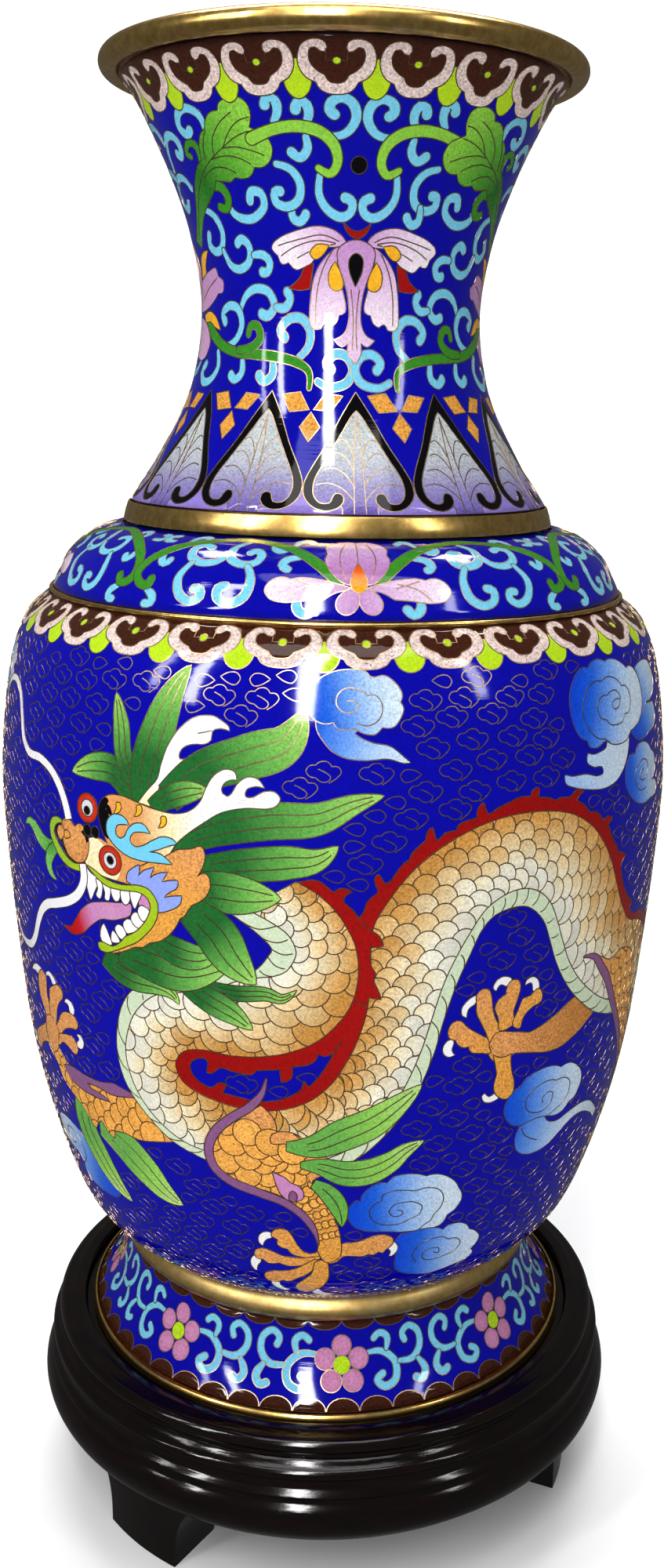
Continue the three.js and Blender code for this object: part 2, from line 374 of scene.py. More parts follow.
class Body:
    """The dragon's body as a strip: along counts from neck to tail, across goes from back to belly."""

    PARTS = 8

    def __init__(self, back, plates, edge):
        self.back, self.plates, self.edge = [spline(p, self.PARTS) for p in (back, plates, edge)]
        middle = (self.back + self.plates) / 2
        steps = np.hypot(*np.diff(middle, axis=0).T)
        self.run = np.concatenate([[0], np.cumsum(steps)])

    def at(self, run, across):
        """A point run mm along the middle of the strip. across is 0 at the back and 1 at the plates."""
        back, plates = [
            np.array([np.interp(run, self.run, line[:, k]) for k in (0, 1)])
            for line in (self.back, self.plates)
        ]
        return back * (1 - across) + plates * across

    def reach(self, stations):
        """How far along the strip a numbered pair of points lies."""
        return self.run[int(stations * self.PARTS)]


SCALE_ROUND = 0.62  # the radius of a scale, as a share of its column's width
PLATE_PITCH = 6.3  # mm, from one belly plate to the next


def scales(art, body, home, first, last, columns, pitch, rng):
    """Overlapping round scales between two stations, laid from the tail end, each on the one behind it."""
    rows = np.arange(body.reach(last), body.reach(first), -pitch)
    for r, run in enumerate(rows):
        wide = math.dist(body.at(run, 0), body.at(run, 1)) / columns
        for c in range(columns + 1):
            across = (c + (0.5 if r % 2 else 0.0)) / columns
            if across > 1.02:
                continue
            spot = body.at(run, across)
            ahead = body.at(run + 3, across) - spot
            ahead /= max(np.hypot(*ahead), 1e-6)
            size = max(wide, 1.6) * SCALE_ROUND
            centre = spot - ahead * size * 0.35
            tone = rng.uniform(-0.16, 0.16)
            level = rng.uniform(0.95, 1.03)
            colours = [np.minimum(np.array(c) * level, 246) for c in SCALE_COLOURS]
            start, end = body.at(run, -tone), body.at(run, 1 - tone)
            art.cell(circle(centre, size, 18), fade(colours, start, end, 0.9 - 0.6 * across), home)


def draw_body(art, rng):
    """The long coiling body: belly plates and scales."""
    body = Body(BACK, PLATES, BELLY_EDGE)
    plates = art.cell(np.concatenate([body.plates, body.edge[::-1]]), plain(PLATE, 0.3))
    for at in np.arange(4.0, body.run[-1], PLATE_PITCH):
        k = np.interp(at, body.run, np.arange(len(body.run)))
        j = min(k + 5, len(body.run) - 1)
        inner, outer = [
            np.array([np.interp(q, np.arange(len(body.run)), line[:, i]) for i in (0, 1)])
            for q, line in ((j, body.plates), (k, body.edge))
        ]
        middle = (inner + outer) / 2 + (inner - outer)[::-1] * (0.16, -0.16)
        art.vein([outer, middle, inner], plates, 0.8)
    home = art.cell(np.concatenate([body.back, body.plates[::-1]]), plain(SAND, 0.6))
    for first, last, columns, pitch in (
        (43, 56, 3, 4.3),
        (23, 43, 4, 4.3),
        (12.5, 23, 3, 4.6),
        (0, 12.5, 3, 4.6),
    ):
        scales(art, body, home, first, last, columns, pitch, rng)
    return body


RUYI_OUTER = [
    (3.0, 3.9), (4.4, 4.7), (6.6, 4.8), (9.2, 3.9), (10.9, 1.4), (11.0, -1.0), (9.2, -3.4),
    (6.3, -4.5, 1), (5.2, -5.9), (3.2, -6.8), (0, -7.1),
]
RUYI_INNER = [
    (0, -4.7), (2.2, -4.4), (3.5, -3.0, 1), (5.6, -2.1), (7.3, -0.8), (7.9, 1.1), (7.2, 2.7),
    (5.9, 2.9), (4.6, 2.0), (3.2, 1.8), (2.6, 2.8),
]


def ruyi_border(art, count, s, wide, high):
    """A ring of cloud-headed ruyi under the brown top edge, with lime scallops between them."""
    left, right, _, top = art.box
    pitch = (right - left) / count
    brown = plain(BROWN, 0.8)
    lime = plain(LIME, 0.35)
    edge = art.cell([(left, s), (right, s), (right, top), (left, top)], brown)
    heads = [(left + pitch * (k + 0.5), s) for k in range(count)]
    for x, at in [(left, s)] + heads + [(right, s)]:
        if x in (left, right):
            half = circle((x, at - 3.7 * high), 4.3 * wide, 24, high / wide)
            half[:, 0] = np.clip(half[:, 0], left, right)
            art.cell(half, lime)
        elif x < right - pitch * 0.6:
            art.cell(circle((x + pitch / 2, at - 3.7 * high), 4.3 * wide, 24, high / wide), lime)
    outer, inner = [
        [(p[0] * wide, p[1] * high) + tuple(p[2:]) for p in half] for half in (RUYI_OUTER, RUYI_INNER)
    ]
    outside = mirrored(outer)
    inside = moved(inner[::-1], flip=True) + inner[1:]
    ends = (0, len(outside) - 1)
    band = [tuple(p[:2]) + ((1,) if i in ends else tuple(p[2:])) for i, p in enumerate(outside + inside)]
    half = 3 * wide
    for x, at in heads:
        art.shape(moved(outside, x, at), brown)
        art.cell([(x - half, at), (x + half, at), (x + half, top), (x - half, top)], brown, edge, False)
        art.shape(moved(band, x, at), plain(PEARL, 1.6))
        art.cell(circle((x, at), 1.25 * wide, 12), plain(LIME, 0.5))


FIN_OUTER = [
    (-9, 143.7), (-5, 144.5), (-3, 144.1), (-1, 142.5), (0.3, 141.5), (1.5, 142.3), (3.6, 142.3),
    (5, 141.5, 1), (3.2, 140.3), (2.9, 138.9), (4, 137.8), (5.5, 136.4), (6.7, 134.5, 1), (8, 136.4),
    (8.6, 138.6), (9.8, 140), (11.4, 141.5), (10.8, 143), (10.4, 145), (11.4, 146.1), (12.4, 144.6),
    (13.3, 143.6), (14.6, 144.4), (16, 146.6), (18, 149), (19.1, 149.4, 1), (19.4, 150.8),
    (21.5, 153), (23.2, 154.4, 1), (23.6, 156.6), (24.8, 157.6), (25.5, 155.6), (26.2, 154.2),
    (28.3, 156), (31.1, 156.4, 1), (32, 158), (34.5, 158.8), (36.7, 159.2, 1), (37, 161.4),
    (38.6, 163), (39.2, 161.4), (40, 160), (43, 161.3), (46.5, 162.4, 1), (49, 163.3), (52.6, 163.2, 1),
    (53.6, 164.8), (55.3, 165.2), (55.3, 162.6, 1), (59, 162), (61, 161, 1), (63, 161.6), (66, 161.3),
    (69, 162.8), (71.6, 162.2), (70, 161.2), (68.8, 160, 1), (71.5, 158.5), (74.4, 155.8, 1),
    (76.4, 155.8), (78.4, 154.6), (80.3, 152.5, 1), (82, 153.4), (85, 152.4, 1), (82.7, 151.1, 1),
    (83.7, 149.3), (86, 146, 1), (88, 144), (88.8, 142.3, 1), (91, 141.5), (94.4, 140, 1),
    (92.4, 138.4), (91.8, 136.8, 1), (94.8, 131.2), (98, 127.6), (103.4, 123.6, 1), (101.6, 122.6, 1),
    (106, 119.4), (113, 118.6), (120, 116), (124, 116.4, 1), (124.4, 112.4), (130, 107.8),
    (134.4, 107.4, 1), (134.4, 103), (139, 97.6), (143.6, 96.6, 1), (144, 92.8, 1), (151, 90.6),
    (154, 93.4, 1), (157.4, 90.4), (163, 91.4), (167.6, 94.4, 1), (171, 97.4, 1), (173.6, 103),
    (172.4, 107.6, 1), (176, 111), (176.2, 118), (171.8, 121.6, 1), (173.2, 126), (168.4, 131),
    (163.6, 132, 1), (162.8, 138), (158.4, 142), (153.4, 142.4, 1), (152, 146), (149.4, 150.2, 1),
]
FIN_RIGHT_OF_NECK = [
    (9.6, 131.2, 1), (11.6, 130), (12.6, 128.6), (13.3, 126.7, 1), (9.9, 126.4, 1), (10, 123),
    (10.4, 121), (11.4, 119.4), (11, 117.2), (11.9, 115.4), (13.1, 112, 1), (9.6, 112.7, 1),
    (9.4, 109.4), (7, 107.5, 1), (7.2, 105.4), (5.2, 101.8), (6.6, 99.8, 1),
]
FIN_VALLEY = (6.7, 134.5)  # where the crest's edge comes down to the body
NECK_END, RISE_START = 24.6, 28.9  # numbered points of the back that the crest runs up to, and starts again
COIL_START, COIL_END = 6, 26.4  # the points of the back that go round the coil
HOLE_CLOUD = (-24.3, 86.4)
HOLE_DROPS = ((-13.9, 85.0), (-6.2, 89.3))
FIN_HOLE = [
    (3.1, 100.6, 1), (0.6, 96.8), (-1.5, 96), (-3, 96.6, 1), (-4, 94.6), (-5.6, 93.5), (-10, 92.6, 1),
    (-10.2, 89.6), (-11.6, 88.2), (-13.1, 88, 1), (-13.5, 91.6, 1), (-16.5, 91.2), (-20, 90.8, 1),
    (-21.2, 89.4), (-24, 89.5), (-27.2, 89.8), (-29.4, 90.4), (-31.2, 89.6), (-32.6, 88.3), (-34.2, 88.4),
    (-33.7, 91), (-34.4, 92.3), (-37, 91.9), (-39, 90.2), (-38.8, 87.6), (-36.6, 85.2), (-33, 84),
    (-31.4, 85.4), (-29.6, 86), (-28.6, 85.4), (-29.9, 83, 1), (-26, 82.4), (-20, 81.7), (-14, 82.5),
    (-9, 85), (-7.6, 86.4), (-7, 88.9, 1), (-5.6, 87, 1), (-3.4, 89.4), (-1, 93), (1.2, 97.4),
]


def draw_fin(art, body):
    """The red crest along the back, with its spikes, and the ground that shows inside the coil."""
    red = glow([RED, (148, 8, 8)], (20, 110), 90, 0.5)
    neck = body.back[: int(NECK_END * body.PARTS)]
    rise = body.back[int(RISE_START * body.PARTS) :]
    outer = curve(FIN_OUTER, 0.8, closed=False)
    valley = int(np.argmin(np.hypot(outer[:, 0] - FIN_VALLEY[0], outer[:, 1] - FIN_VALLEY[1])))
    right = curve(FIN_RIGHT_OF_NECK, 0.8, closed=False)
    art.cell(np.concatenate([outer[: valley + 1], right, neck[::-1]]), red)
    art.cell(np.concatenate([outer[valley:], rise[::-1], right[:1]]), red)
    art.cell(body.back[int(COIL_START * body.PARTS) : int(COIL_END * body.PARTS)], red)
    hole = art.shape(FIN_HOLE, plain(COBALT, 0.5))
    art.vein(moved(MOTIF, *HOLE_CLOUD), hole, 0.7)
    for spot in HOLE_DROPS:
        art.line(closed_wire(moved(TEARDROP, *spot), 0.6), [hole])


MANE = [
    # spine of each leaf, its width, and where it is widest
    ([(-54, 161), (-60, 167.2), (-67, 167.4), (-76, 164.6)], 7.6, 0.5),
    ([(-50, 162), (-57, 171), (-58.8, 179.5), (-61.6, 187.4)], 5.6, 0.6),
    ([(-50, 159.5), (-49.8, 169), (-47, 179), (-43.6, 189), (-39.4, 196.4)], 10.4, 0.4),
    ([(-43, 162.5), (-34, 170), (-22, 174.6), (-12.4, 178.4), (-7.6, 187)], 11.4, 0.62),
    ([(-47.6, 159.4), (-43.4, 162.4), (-37.6, 164.6), (-31.4, 165.6)], 6.2, 0.5),
    ([(-42, 150.5), (-30, 155.8), (-16, 159), (-4, 160), (5, 163.8), (12.6, 166)], 9.4, 0.5),
    ([(-36, 144.6), (-24, 147), (-12, 148.6), (-4, 149.6), (1.4, 153.4)], 9.0, 0.55),
    ([(-40, 137), (-32, 139.6), (-23, 139.4), (-12.8, 139.2)], 11.0, 0.5),
    ([(-33, 113.5), (-25, 112.4), (-17, 112.9), (-12.6, 111.9), (-8.8, 114.6)], 4.4, 0.4),
    ([(-40, 113.5), (-32, 109.3), (-26, 106.4), (-20.6, 102.4)], 7.4, 0.45),
    ([(-66, 115.6), (-57, 112), (-48, 111.2), (-43.6, 109.6), (-41.4, 106.8)], 7.8, 0.3),
    ([(-60, 119.5), (-50, 118), (-40, 116.8), (-26.6, 119.8)], 12.6, 0.45),
    ([(-48, 124.5), (-40, 121.4), (-34, 121.4), (-29, 124.4)], 8.0, 0.4),
    ([(-37.6, 134), (-30.5, 128.6), (-25.6, 121.6), (-19.4, 115.4)], 12.2, 0.42),
]
HORN_BACK = [
    (-52, 160.2, 1), (-49, 164), (-46.4, 167), (-45.4, 171), (-43.6, 176), (-40.6, 180.4),
    (-36.4, 183.6), (-31.4, 184.2), (-29.4, 183.4), (-27, 181.8), (-26.8, 180.8, 1), (-29.6, 181.2),
    (-31.4, 180.4), (-31.6, 178.2), (-33.4, 177), (-36.4, 176.8), (-39, 175.8), (-40.2, 174.2),
    (-40, 172.8), (-38, 173.2), (-36.2, 174.4), (-35.8, 173.4, 1), (-37, 170.8), (-39.6, 169.4),
    (-43.6, 167.6), (-45.6, 165), (-46.2, 162.4), (-47.6, 159.6, 1),
]
HEAD = [
    (-65.2, 156.4), (-64.2, 159), (-61.6, 160.8), (-57, 161.2), (-52, 160.2), (-47.4, 159.3),
    (-41, 158.8), (-37, 159.9), (-34, 162.6), (-32.6, 166), (-30.6, 169.4), (-27.6, 171.3),
    (-25, 170.8), (-24.4, 168.8, 1), (-26.4, 168.6), (-28.2, 167), (-28, 165.2), (-26.8, 164.6),
    (-25.6, 165.6), (-24.2, 168), (-21.6, 169.8), (-19, 169.4), (-17.2, 167.2, 1), (-19.6, 167.5),
    (-21.8, 166.6), (-22, 164.9), (-20.4, 164.8), (-17.4, 166.4), (-14.8, 166.5), (-13.2, 164.9),
    (-14, 163.1), (-16, 162.2), (-22, 161.9), (-28, 160.4), (-33, 157.2), (-37, 154.2), (-40.2, 151.2),
    (-43, 147), (-48, 139), (-58, 138), (-70.6, 140.4), (-71.6, 146), (-68, 148.4, 1), (-65, 148.8),
    (-62, 147.8, 1), (-64.4, 152),
]
CHEEK = [
    (-43.6, 147.4), (-40, 149.6), (-36.6, 150.2), (-33.4, 151.2), (-32.4, 149), (-33.2, 145.6),
    (-34.6, 143.2, 1), (-33, 144.3), (-31.6, 143.6), (-31.2, 140.6), (-32.8, 137.6), (-36.4, 135.2, 1),
    (-37.4, 133.8), (-38.8, 131.8), (-40, 131, 1), (-40.8, 129.4), (-43, 126.4), (-46, 124),
    (-49.6, 122.8, 1), (-52, 121), (-54.4, 120.6), (-56.8, 119.4), (-60, 118), (-63, 117.2),
    (-56, 124), (-48, 134), (-54, 141),
]
BROW = [
    (-62.2, 150.6), (-62.2, 153.6), (-60.4, 155.8), (-57.6, 156.2), (-55.2, 155), (-54.8, 153.8, 1),
    (-56.6, 153.8), (-58.8, 153), (-59, 150.8), (-57.6, 150), (-56.2, 150.8), (-55, 153), (-52.6, 154.8),
    (-50, 154.8), (-48, 152.6, 1), (-50, 152.7), (-53.4, 152), (-54.4, 150), (-53, 148.6), (-50.4, 149.2),
    (-47.4, 151), (-44.4, 152.4), (-41.6, 152.2), (-40.2, 151), (-42, 150.4), (-45.6, 148.8),
    (-48.4, 147.8, 1), (-45.2, 147.8), (-43, 146.6), (-41.6, 145.4, 1), (-46, 145.2), (-51, 145),
    (-56, 145.8), (-60, 148),
]
CHEEK_FLAME = [
    (-56, 138.6, 1), (-55.6, 141), (-53, 143.2), (-51.6, 143.8), (-52, 140.8, 1), (-50.6, 142.4),
    (-48, 143.6), (-47, 144, 1), (-48.4, 140.8, 1), (-46.6, 142.2), (-43, 143.2, 1), (-44.8, 140.4, 1),
    (-42, 141.2), (-40, 141.4, 1), (-40.6, 139.2), (-43, 137.6), (-44.4, 136.2, 1), (-41.6, 137),
    (-39.2, 137.4, 1), (-39.8, 135), (-43, 132.8), (-47, 131.8), (-52, 135), (-54, 137.6),
]
UPPER_LIP = [
    (-70.4, 140.4), (-67, 139.4), (-63.4, 138), (-58, 137.4), (-52, 138.2), (-49, 137.6), (-46.6, 134.6),
    (-46.6, 131), (-48.4, 127.4), (-51.6, 124), (-54, 122), (-57, 120.4), (-61, 118.4), (-65, 116.8),
    (-67.6, 117.2), (-68, 119), (-66.2, 119.6), (-62.6, 119.2), (-59.6, 121), (-57.6, 123),
    (-55.8, 124), (-53.4, 125.6), (-50, 129.6), (-48.8, 133), (-49.6, 135), (-52, 136.2), (-58, 135.8),
    (-63.4, 136), (-67.6, 138.2),
]
MOUTH = [
    (-71, 140.2), (-67, 138.4), (-62, 136), (-56, 135.8), (-51, 136.2), (-48.8, 134.4), (-49.4, 130.4),
    (-53, 126), (-57, 123.4), (-60.6, 120.4), (-63, 119), (-66.4, 119.4), (-66.8, 124), (-66, 127.8),
    (-72, 131),
]
TONGUE = [
    (-55, 132.4), (-60, 132), (-66, 131), (-70, 129.8), (-74, 127), (-77, 123.4), (-79.6, 120.8),
    (-83, 120.4), (-80.6, 119.2), (-78, 118.8), (-74, 120.2), (-70, 123.4), (-66, 126), (-62, 126.6),
    (-59.4, 127.4), (-55.4, 129.4),
]
UPPER_TEETH = [
    [(-71, 140.4), (-69.4, 138.8), (-66, 137), (-67.8, 133.4), (-69.6, 130.8), (-70.8, 134), (-71, 137)],
    [(-67, 137.2), (-66.6, 134.6), (-67.4, 132.6), (-66, 131.7), (-65, 133.4), (-64.8, 136.4)],
    [(-64.8, 136.6), (-64, 134), (-64.2, 132.2), (-62.8, 131.8), (-62, 133.6), (-61.8, 136.2)],
    [(-61.6, 136), (-61.3, 133.2), (-60.2, 132.2), (-59, 132.8), (-58.4, 136)],
    [(-58.2, 136), (-58.2, 133), (-57, 131.9), (-55.6, 132.8), (-55, 136.2)],
    [(-55, 136.2), (-54.8, 133), (-53.8, 131.4), (-52.8, 133), (-51.4, 136.4)],
]
LOWER_TEETH = [
    [(-65.2, 125), (-66.6, 123), (-66.8, 120.4), (-65, 119), (-62.6, 119.6), (-63.4, 122)],
    [(-62.8, 122), (-62, 123.8), (-60.4, 122.6), (-59.6, 121), (-61, 120.4), (-62.6, 120.4)],
    [(-61.2, 124.6), (-59.8, 126), (-57.8, 125.2), (-57.2, 123.4), (-59, 121.8), (-60.4, 122.8)],
    [(-58.2, 126.4), (-56.4, 128.2), (-53.6, 127.2), (-53, 125.8), (-55.4, 124.4), (-57, 124)],
    [(-55.4, 128.6), (-53.8, 130.6), (-51, 129.4), (-50.8, 128), (-53, 126.2), (-54.6, 127)],
    [(-53, 130.8), (-51.8, 132.8), (-49, 131.6), (-49.6, 129.6), (-51.4, 128.4)],
]
NOSE = [
    (-80.4, 147.6), (-80.2, 150.2), (-78.4, 151.7), (-75.8, 151.2), (-74.6, 150.2), (-72.6, 151.3),
    (-70.4, 150.4), (-69, 147.6), (-69.2, 144.4), (-70.8, 141.4), (-73.6, 140.2), (-77, 141),
    (-79.4, 143.6),
]
SNOUT = [
    (-70.6, 138.4), (-74, 137.8), (-78, 138), (-81.4, 139.6), (-84, 142.2), (-86, 145.4),
    (-86.2, 148.2), (-84.6, 150.6), (-81.6, 151.2), (-80, 150.4), (-81, 149.4), (-83, 148.8),
    (-84, 146.8), (-82.6, 144.4), (-80.6, 142.4), (-78.6, 140.8), (-75.6, 139.8), (-72, 140),
]
SNOUT_SHADE = [
    (-80, 149.6), (-82.4, 149.2), (-83.6, 147.4), (-82.8, 145.4), (-80.6, 144.2), (-79.6, 142),
    (-77, 140.4), (-74.6, 139.9), (-75, 141.4), (-77.6, 143), (-79, 145.2), (-80.8, 146.4),
]
BARBELS = [
    ([(-82, 144), (-86, 141.8), (-91, 142.6), (-95, 145.4), (-98.6, 146.4), (-101.4, 144.8)], 4.6, 0.35),
    ([(-83, 143), (-86.6, 140), (-88.2, 136.6), (-86.8, 133.8), (-84.6, 132.8)], 3.8, 0.35),
]
UPPER_WHISKER = [
    (-77, 151.4), (-78.6, 155.6), (-81.6, 160), (-86, 163.4), (-92, 165.3), (-99, 165.6),
    (-103.6, 168.6), (-106.6, 174.6), (-110, 180.2), (-116, 183), (-122, 182.4), (-126, 179.4),
    (-126.4, 175.6), (-123.6, 174.6),
]
LOWER_WHISKER = [
    (-72, 140.4), (-72, 135.6), (-74.6, 131.4), (-79, 128.4), (-86, 125.8), (-91, 124.2), (-95, 121.4),
    (-98.6, 117), (-102.4, 111.4), (-107, 107.6), (-113, 106.4), (-119, 107.6), (-122, 110.4),
    (-121.4, 113.4), (-119, 113.4),
]


def draw_mane(art, leaves):
    """Green leaves round the head."""
    for spine, width, belly in leaves:
        art.leaf(spine, width, [FOREST, FOREST, LEAF, SPRING], belly, 0.7)


MANE_BEHIND_HORN = 3  # so many of the leaves come before the horn
EYE_PLACES = (((-69.4, 156), (-0.1, -0.7)), ((-61.4, 143.3), (0.1, 0.1)))  # each eye, and where it looks


def draw_head(art):
    """The head: back horn and mane first, then the face, the mouth and the whiskers."""
    draw_mane(art, MANE[:MANE_BEHIND_HORN])
    horn = art.shape(HORN_BACK, fade([CREAM, WHITE, WHITE], (-49, 160), (-42, 174), 0.15))
    art.vein([(-35.4, 179.6), (-33.6, 180), (-31.6, 180.6)], horn, 0.8)
    draw_mane(art, MANE[MANE_BEHIND_HORN:])
    head = art.shape(HEAD, fade([TAN, TAN, CREAM, WHITE], (-62, 156), (-33, 160), 0.5))
    art.shape([(-70, 148), (-66, 148.4), (-62, 146), (-58, 142), (-60, 138), (-70, 140)],
              fade([CREAM, (250, 238, 200)], (-70, 140), (-60, 147), 0.5), head, False)
    for crease in (
        [(-65.4, 157), (-63.4, 160), (-61.6, 159.4), (-62.6, 157), (-61.4, 155.4), (-62.6, 152),
         (-61.6, 149), (-64.4, 151)],
        [(-62.8, 158.4), (-61.2, 157.8), (-60.4, 155.6), (-61.8, 155.8)],
    ):
        art.shape(crease, plain(BLACK, 0.2), head, False)
    for spot in ((-58.6, 157.9), (-51.9, 158.2), (-44.5, 156.3)):
        drop = [(-1.2, -1.8, 1), (0.4, -1.3), (1.3, 0), (0.9, 1.4), (-0.4, 1.2), (-0.4, -0.2)]
        art.shape(moved(drop, *spot), plain(YELLOW, 0.5), step=0.5)
    art.shape(CHEEK, fade([TAN, GOLD, GOLD], (-38, 148), (-46, 124), 0.9))
    art.shape(BROW, plain(TURQUOISE, 0.2))
    art.shape(CHEEK_FLAME, plain(LILAC, 0.25))
    mouth = art.shape(MOUTH, plain((18, 16, 150), 0.1), step=0.7)
    art.shape([(-54.8, 137), (-52.6, 133.6), (-52, 131), (-49, 130.4), (-47.6, 133.6), (-50, 136.4)],
              plain(PINK, 0.3), mouth)
    tongue = [PINK, (204, 150, 190), PINK, (190, 20, 26), (176, 14, 20)]
    art.shape(TONGUE, fade(tongue, (-56, 131), (-82, 120.4), 0.3))
    for tooth in UPPER_TEETH + LOWER_TEETH:
        art.shape(tooth, plain(WHITE, 0.1), step=0.6)
    art.shape(UPPER_LIP, plain(LIP_GREEN, 0.35))
    for spine, width, belly in BARBELS:
        art.leaf(spine, width, [(60, 140, 50), (120, 190, 96), (130, 196, 110)], belly, 0.8, 0)
    art.shape(SNOUT, fade([LIP_GREEN, (150, 190, 60)], (-72, 139), (-86, 147), 0.3))
    art.shape(SNOUT_SHADE, plain(BLACK, 0.2))
    nose = art.shape(NOSE, glow([TAN, TAN, (206, 140, 80)], (-75, 146.5), 7, 1.2))
    art.shape([(-72, 149), (-69.6, 150), (-68.8, 147.6), (-70, 146.4), (-70.4, 148)],
              plain(BLACK, 0.6), nose, False)
    nostril = [(1.4, 0), (0, 1.2), (-1.8, 0.4), (-1.4, -1.1), (0.4, -1)]
    art.shape(moved(nostril, -77.8, 147.2), plain(GOLD, 0.8), step=0.5)
    art.shape([(-81.6, 149), (-79.4, 148.8), (-79.4, 146.6), (-81, 145),
               (-82.6, 147)], plain(TAN, 0.9), step=0.6)
    for x in (-69.4, -66.4):
        spot = [(-1.4, -1), (-1.2, 0.8), (0, 1.5), (1.3, 0.6), (1.2, -1.2), (0, -1.8)]
        art.shape(moved(spot, x, 150.2), plain(BLACK, 0.3), step=0.6)
    for eye, gaze in EYE_PLACES:
        art.cell(circle(eye, 3.95, 28), glow([EYE_RED, EYE_RED, (170, 30, 20)], eye, 4.6, 0.4))
        art.cell(circle(eye, 2.3, 20), plain(GREY_WHITE, 0.2))
        art.cell(circle((eye[0] + gaze[0], eye[1] + gaze[1]), 1.15, 12), plain(BLACK, 0.1))
    art.ribbon(UPPER_WHISKER, [3.0, 2.5, 2.3, 2.2, 1.6], plain(WHITE, 0.12), False)
    art.ribbon(LOWER_WHISKER, [2.8, 3.0, 2.8, 2.5, 1.6], plain(WHITE, 0.12), False)


LEG_FRONT = [
    (-19, 80.6, 1), (-23, 77.6), (-28, 74), (-32.6, 69), (-34.6, 63.6), (-33, 59.2), (-29, 56.2),
    (-22, 54), (-14, 51.6), (-8.4, 47.6), (-4.6, 42.4), (-2.8, 37), (-3.2, 32, 1), (0, 27), (4, 29),
    (4.6, 34.4, 1), (4, 38.6), (2.6, 43.6), (0.6, 48), (-2, 53), (-4.6, 57), (-2, 59), (2.8, 56.4),
    (2.4, 59.4), (-0.4, 60.6), (-3.4, 60.6, 1), (1.2, 62, 1), (0.4, 64.6), (-2.4, 66.2), (-7, 66.9, 1),
    (-6.4, 69.4), (-8, 71.8), (-11, 73), (-14.6, 72.8, 1), (-15, 76), (-17, 79),
]
TOES_FRONT = [
    [(4, 34.4), (9.6, 35.4), (14.6, 37.2), (18.8, 37.4), (21.4, 35.6), (21.4, 33.4), (19.6, 31.6, 1),
     (18.2, 30.2), (17, 30.8, 1), (15.4, 29.8), (13.4, 30.2, 1), (11.6, 29.4), (8.6, 29.7), (5.4, 29.6),
     (3.4, 27.6), (0, 27)],
    [(-2.6, 34), (-3.4, 31.6), (-5.4, 30.8), (-7.6, 31.6), (-9.6, 34.2), (-11, 37.2), (-12.6, 39.4),
     (-14.8, 39.8), (-17.2, 38.8), (-18, 36.8), (-16, 35.6, 1), (-16.2, 33.6), (-14.6, 32.4),
     (-13, 32.2, 1), (-11.8, 30.4), (-9, 29.3), (-5.6, 29.2), (-2.6, 29)],
    [(-2, 29.6), (-9.6, 28.8), (-15, 29.4), (-19, 31.1), (-21.8, 31.5), (-24, 30.2), (-24.4, 28),
     (-23, 26.8), (-21.6, 27, 1), (-20, 25.6), (-18, 25.6), (-16.2, 26.1, 1), (-13, 25.2), (-9, 25.6),
     (-4, 27.4)],
    [(-3.4, 28.6), (-9.6, 24.8), (-14, 23), (-18.8, 22.3), (-21.6, 21), (-22, 19), (-20.4, 17.2),
     (-17.6, 17.1), (-15.6, 18.3, 1), (-12.4, 18.4), (-10, 20, 1), (-6.6, 22), (-3.4, 26)],
    [(-3.8, 27.4), (-5.2, 22.4), (-8.6, 18.8), (-11, 16), (-10.6, 13.2), (-8, 11.6), (-5.2, 12.6),
     (-3.6, 14.2, 1), (-1.6, 15.4), (-0.6, 17.4, 1), (0.6, 20), (0.8, 23.6), (-0.2, 28)],
]
CLAWS_FRONT = [
    [(21.4, 34.4), (23.2, 32.8), (23.3, 30.4), (21.6, 28.6), (20.6, 28.8, 1), (21, 30.6), (20, 32)],
    [(-18, 38), (-20.4, 37.9), (-22.2, 36), (-22.3, 33.6), (-21, 32.4, 1), (-20.4, 34), (-19.4, 35.2),
     (-17.8, 36)],
    [(-24, 28.4), (-25.8, 26.6), (-26.2, 24), (-25, 21.8), (-24.2, 21.8, 1), (-23.6, 24), (-22.2, 26),
     (-22.4, 27.6)],
    [(-19.8, 17.4), (-19.6, 15), (-17.6, 12.6), (-14.6, 12), (-13.2, 12.8, 1), (-15.4, 14), (-16.6, 15.6),
     (-16.8, 17.4)],
    [(-5, 13), (-5, 10.4), (-3, 8.4), (0.4, 8.2), (2.8, 9.6), (3, 10.6, 1), (0.4, 11), (-1.6, 12.4),
     (-2.8, 14.4)],
]
LEG_LEFT = [
    (-44, 74), (-56, 73.6), (-60, 74.8), (-66, 75), (-74, 74.6), (-84, 74.6), (-90, 76), (-94.6, 79.6),
    (-93.4, 86), (-97, 90), (-101, 88.4), (-103, 83), (-104, 78.8), (-101.4, 75.6), (-98, 73.4),
    (-96, 69.6), (-92, 66.8), (-86.4, 64.2), (-83, 61, 1), (-80.6, 58.4), (-79, 60, 1), (-76.4, 62),
    (-74, 59.4), (-71.6, 58.2), (-70.6, 60.8, 1), (-66, 61.6), (-60, 61.2), (-54, 62.4), (-44, 66),
]
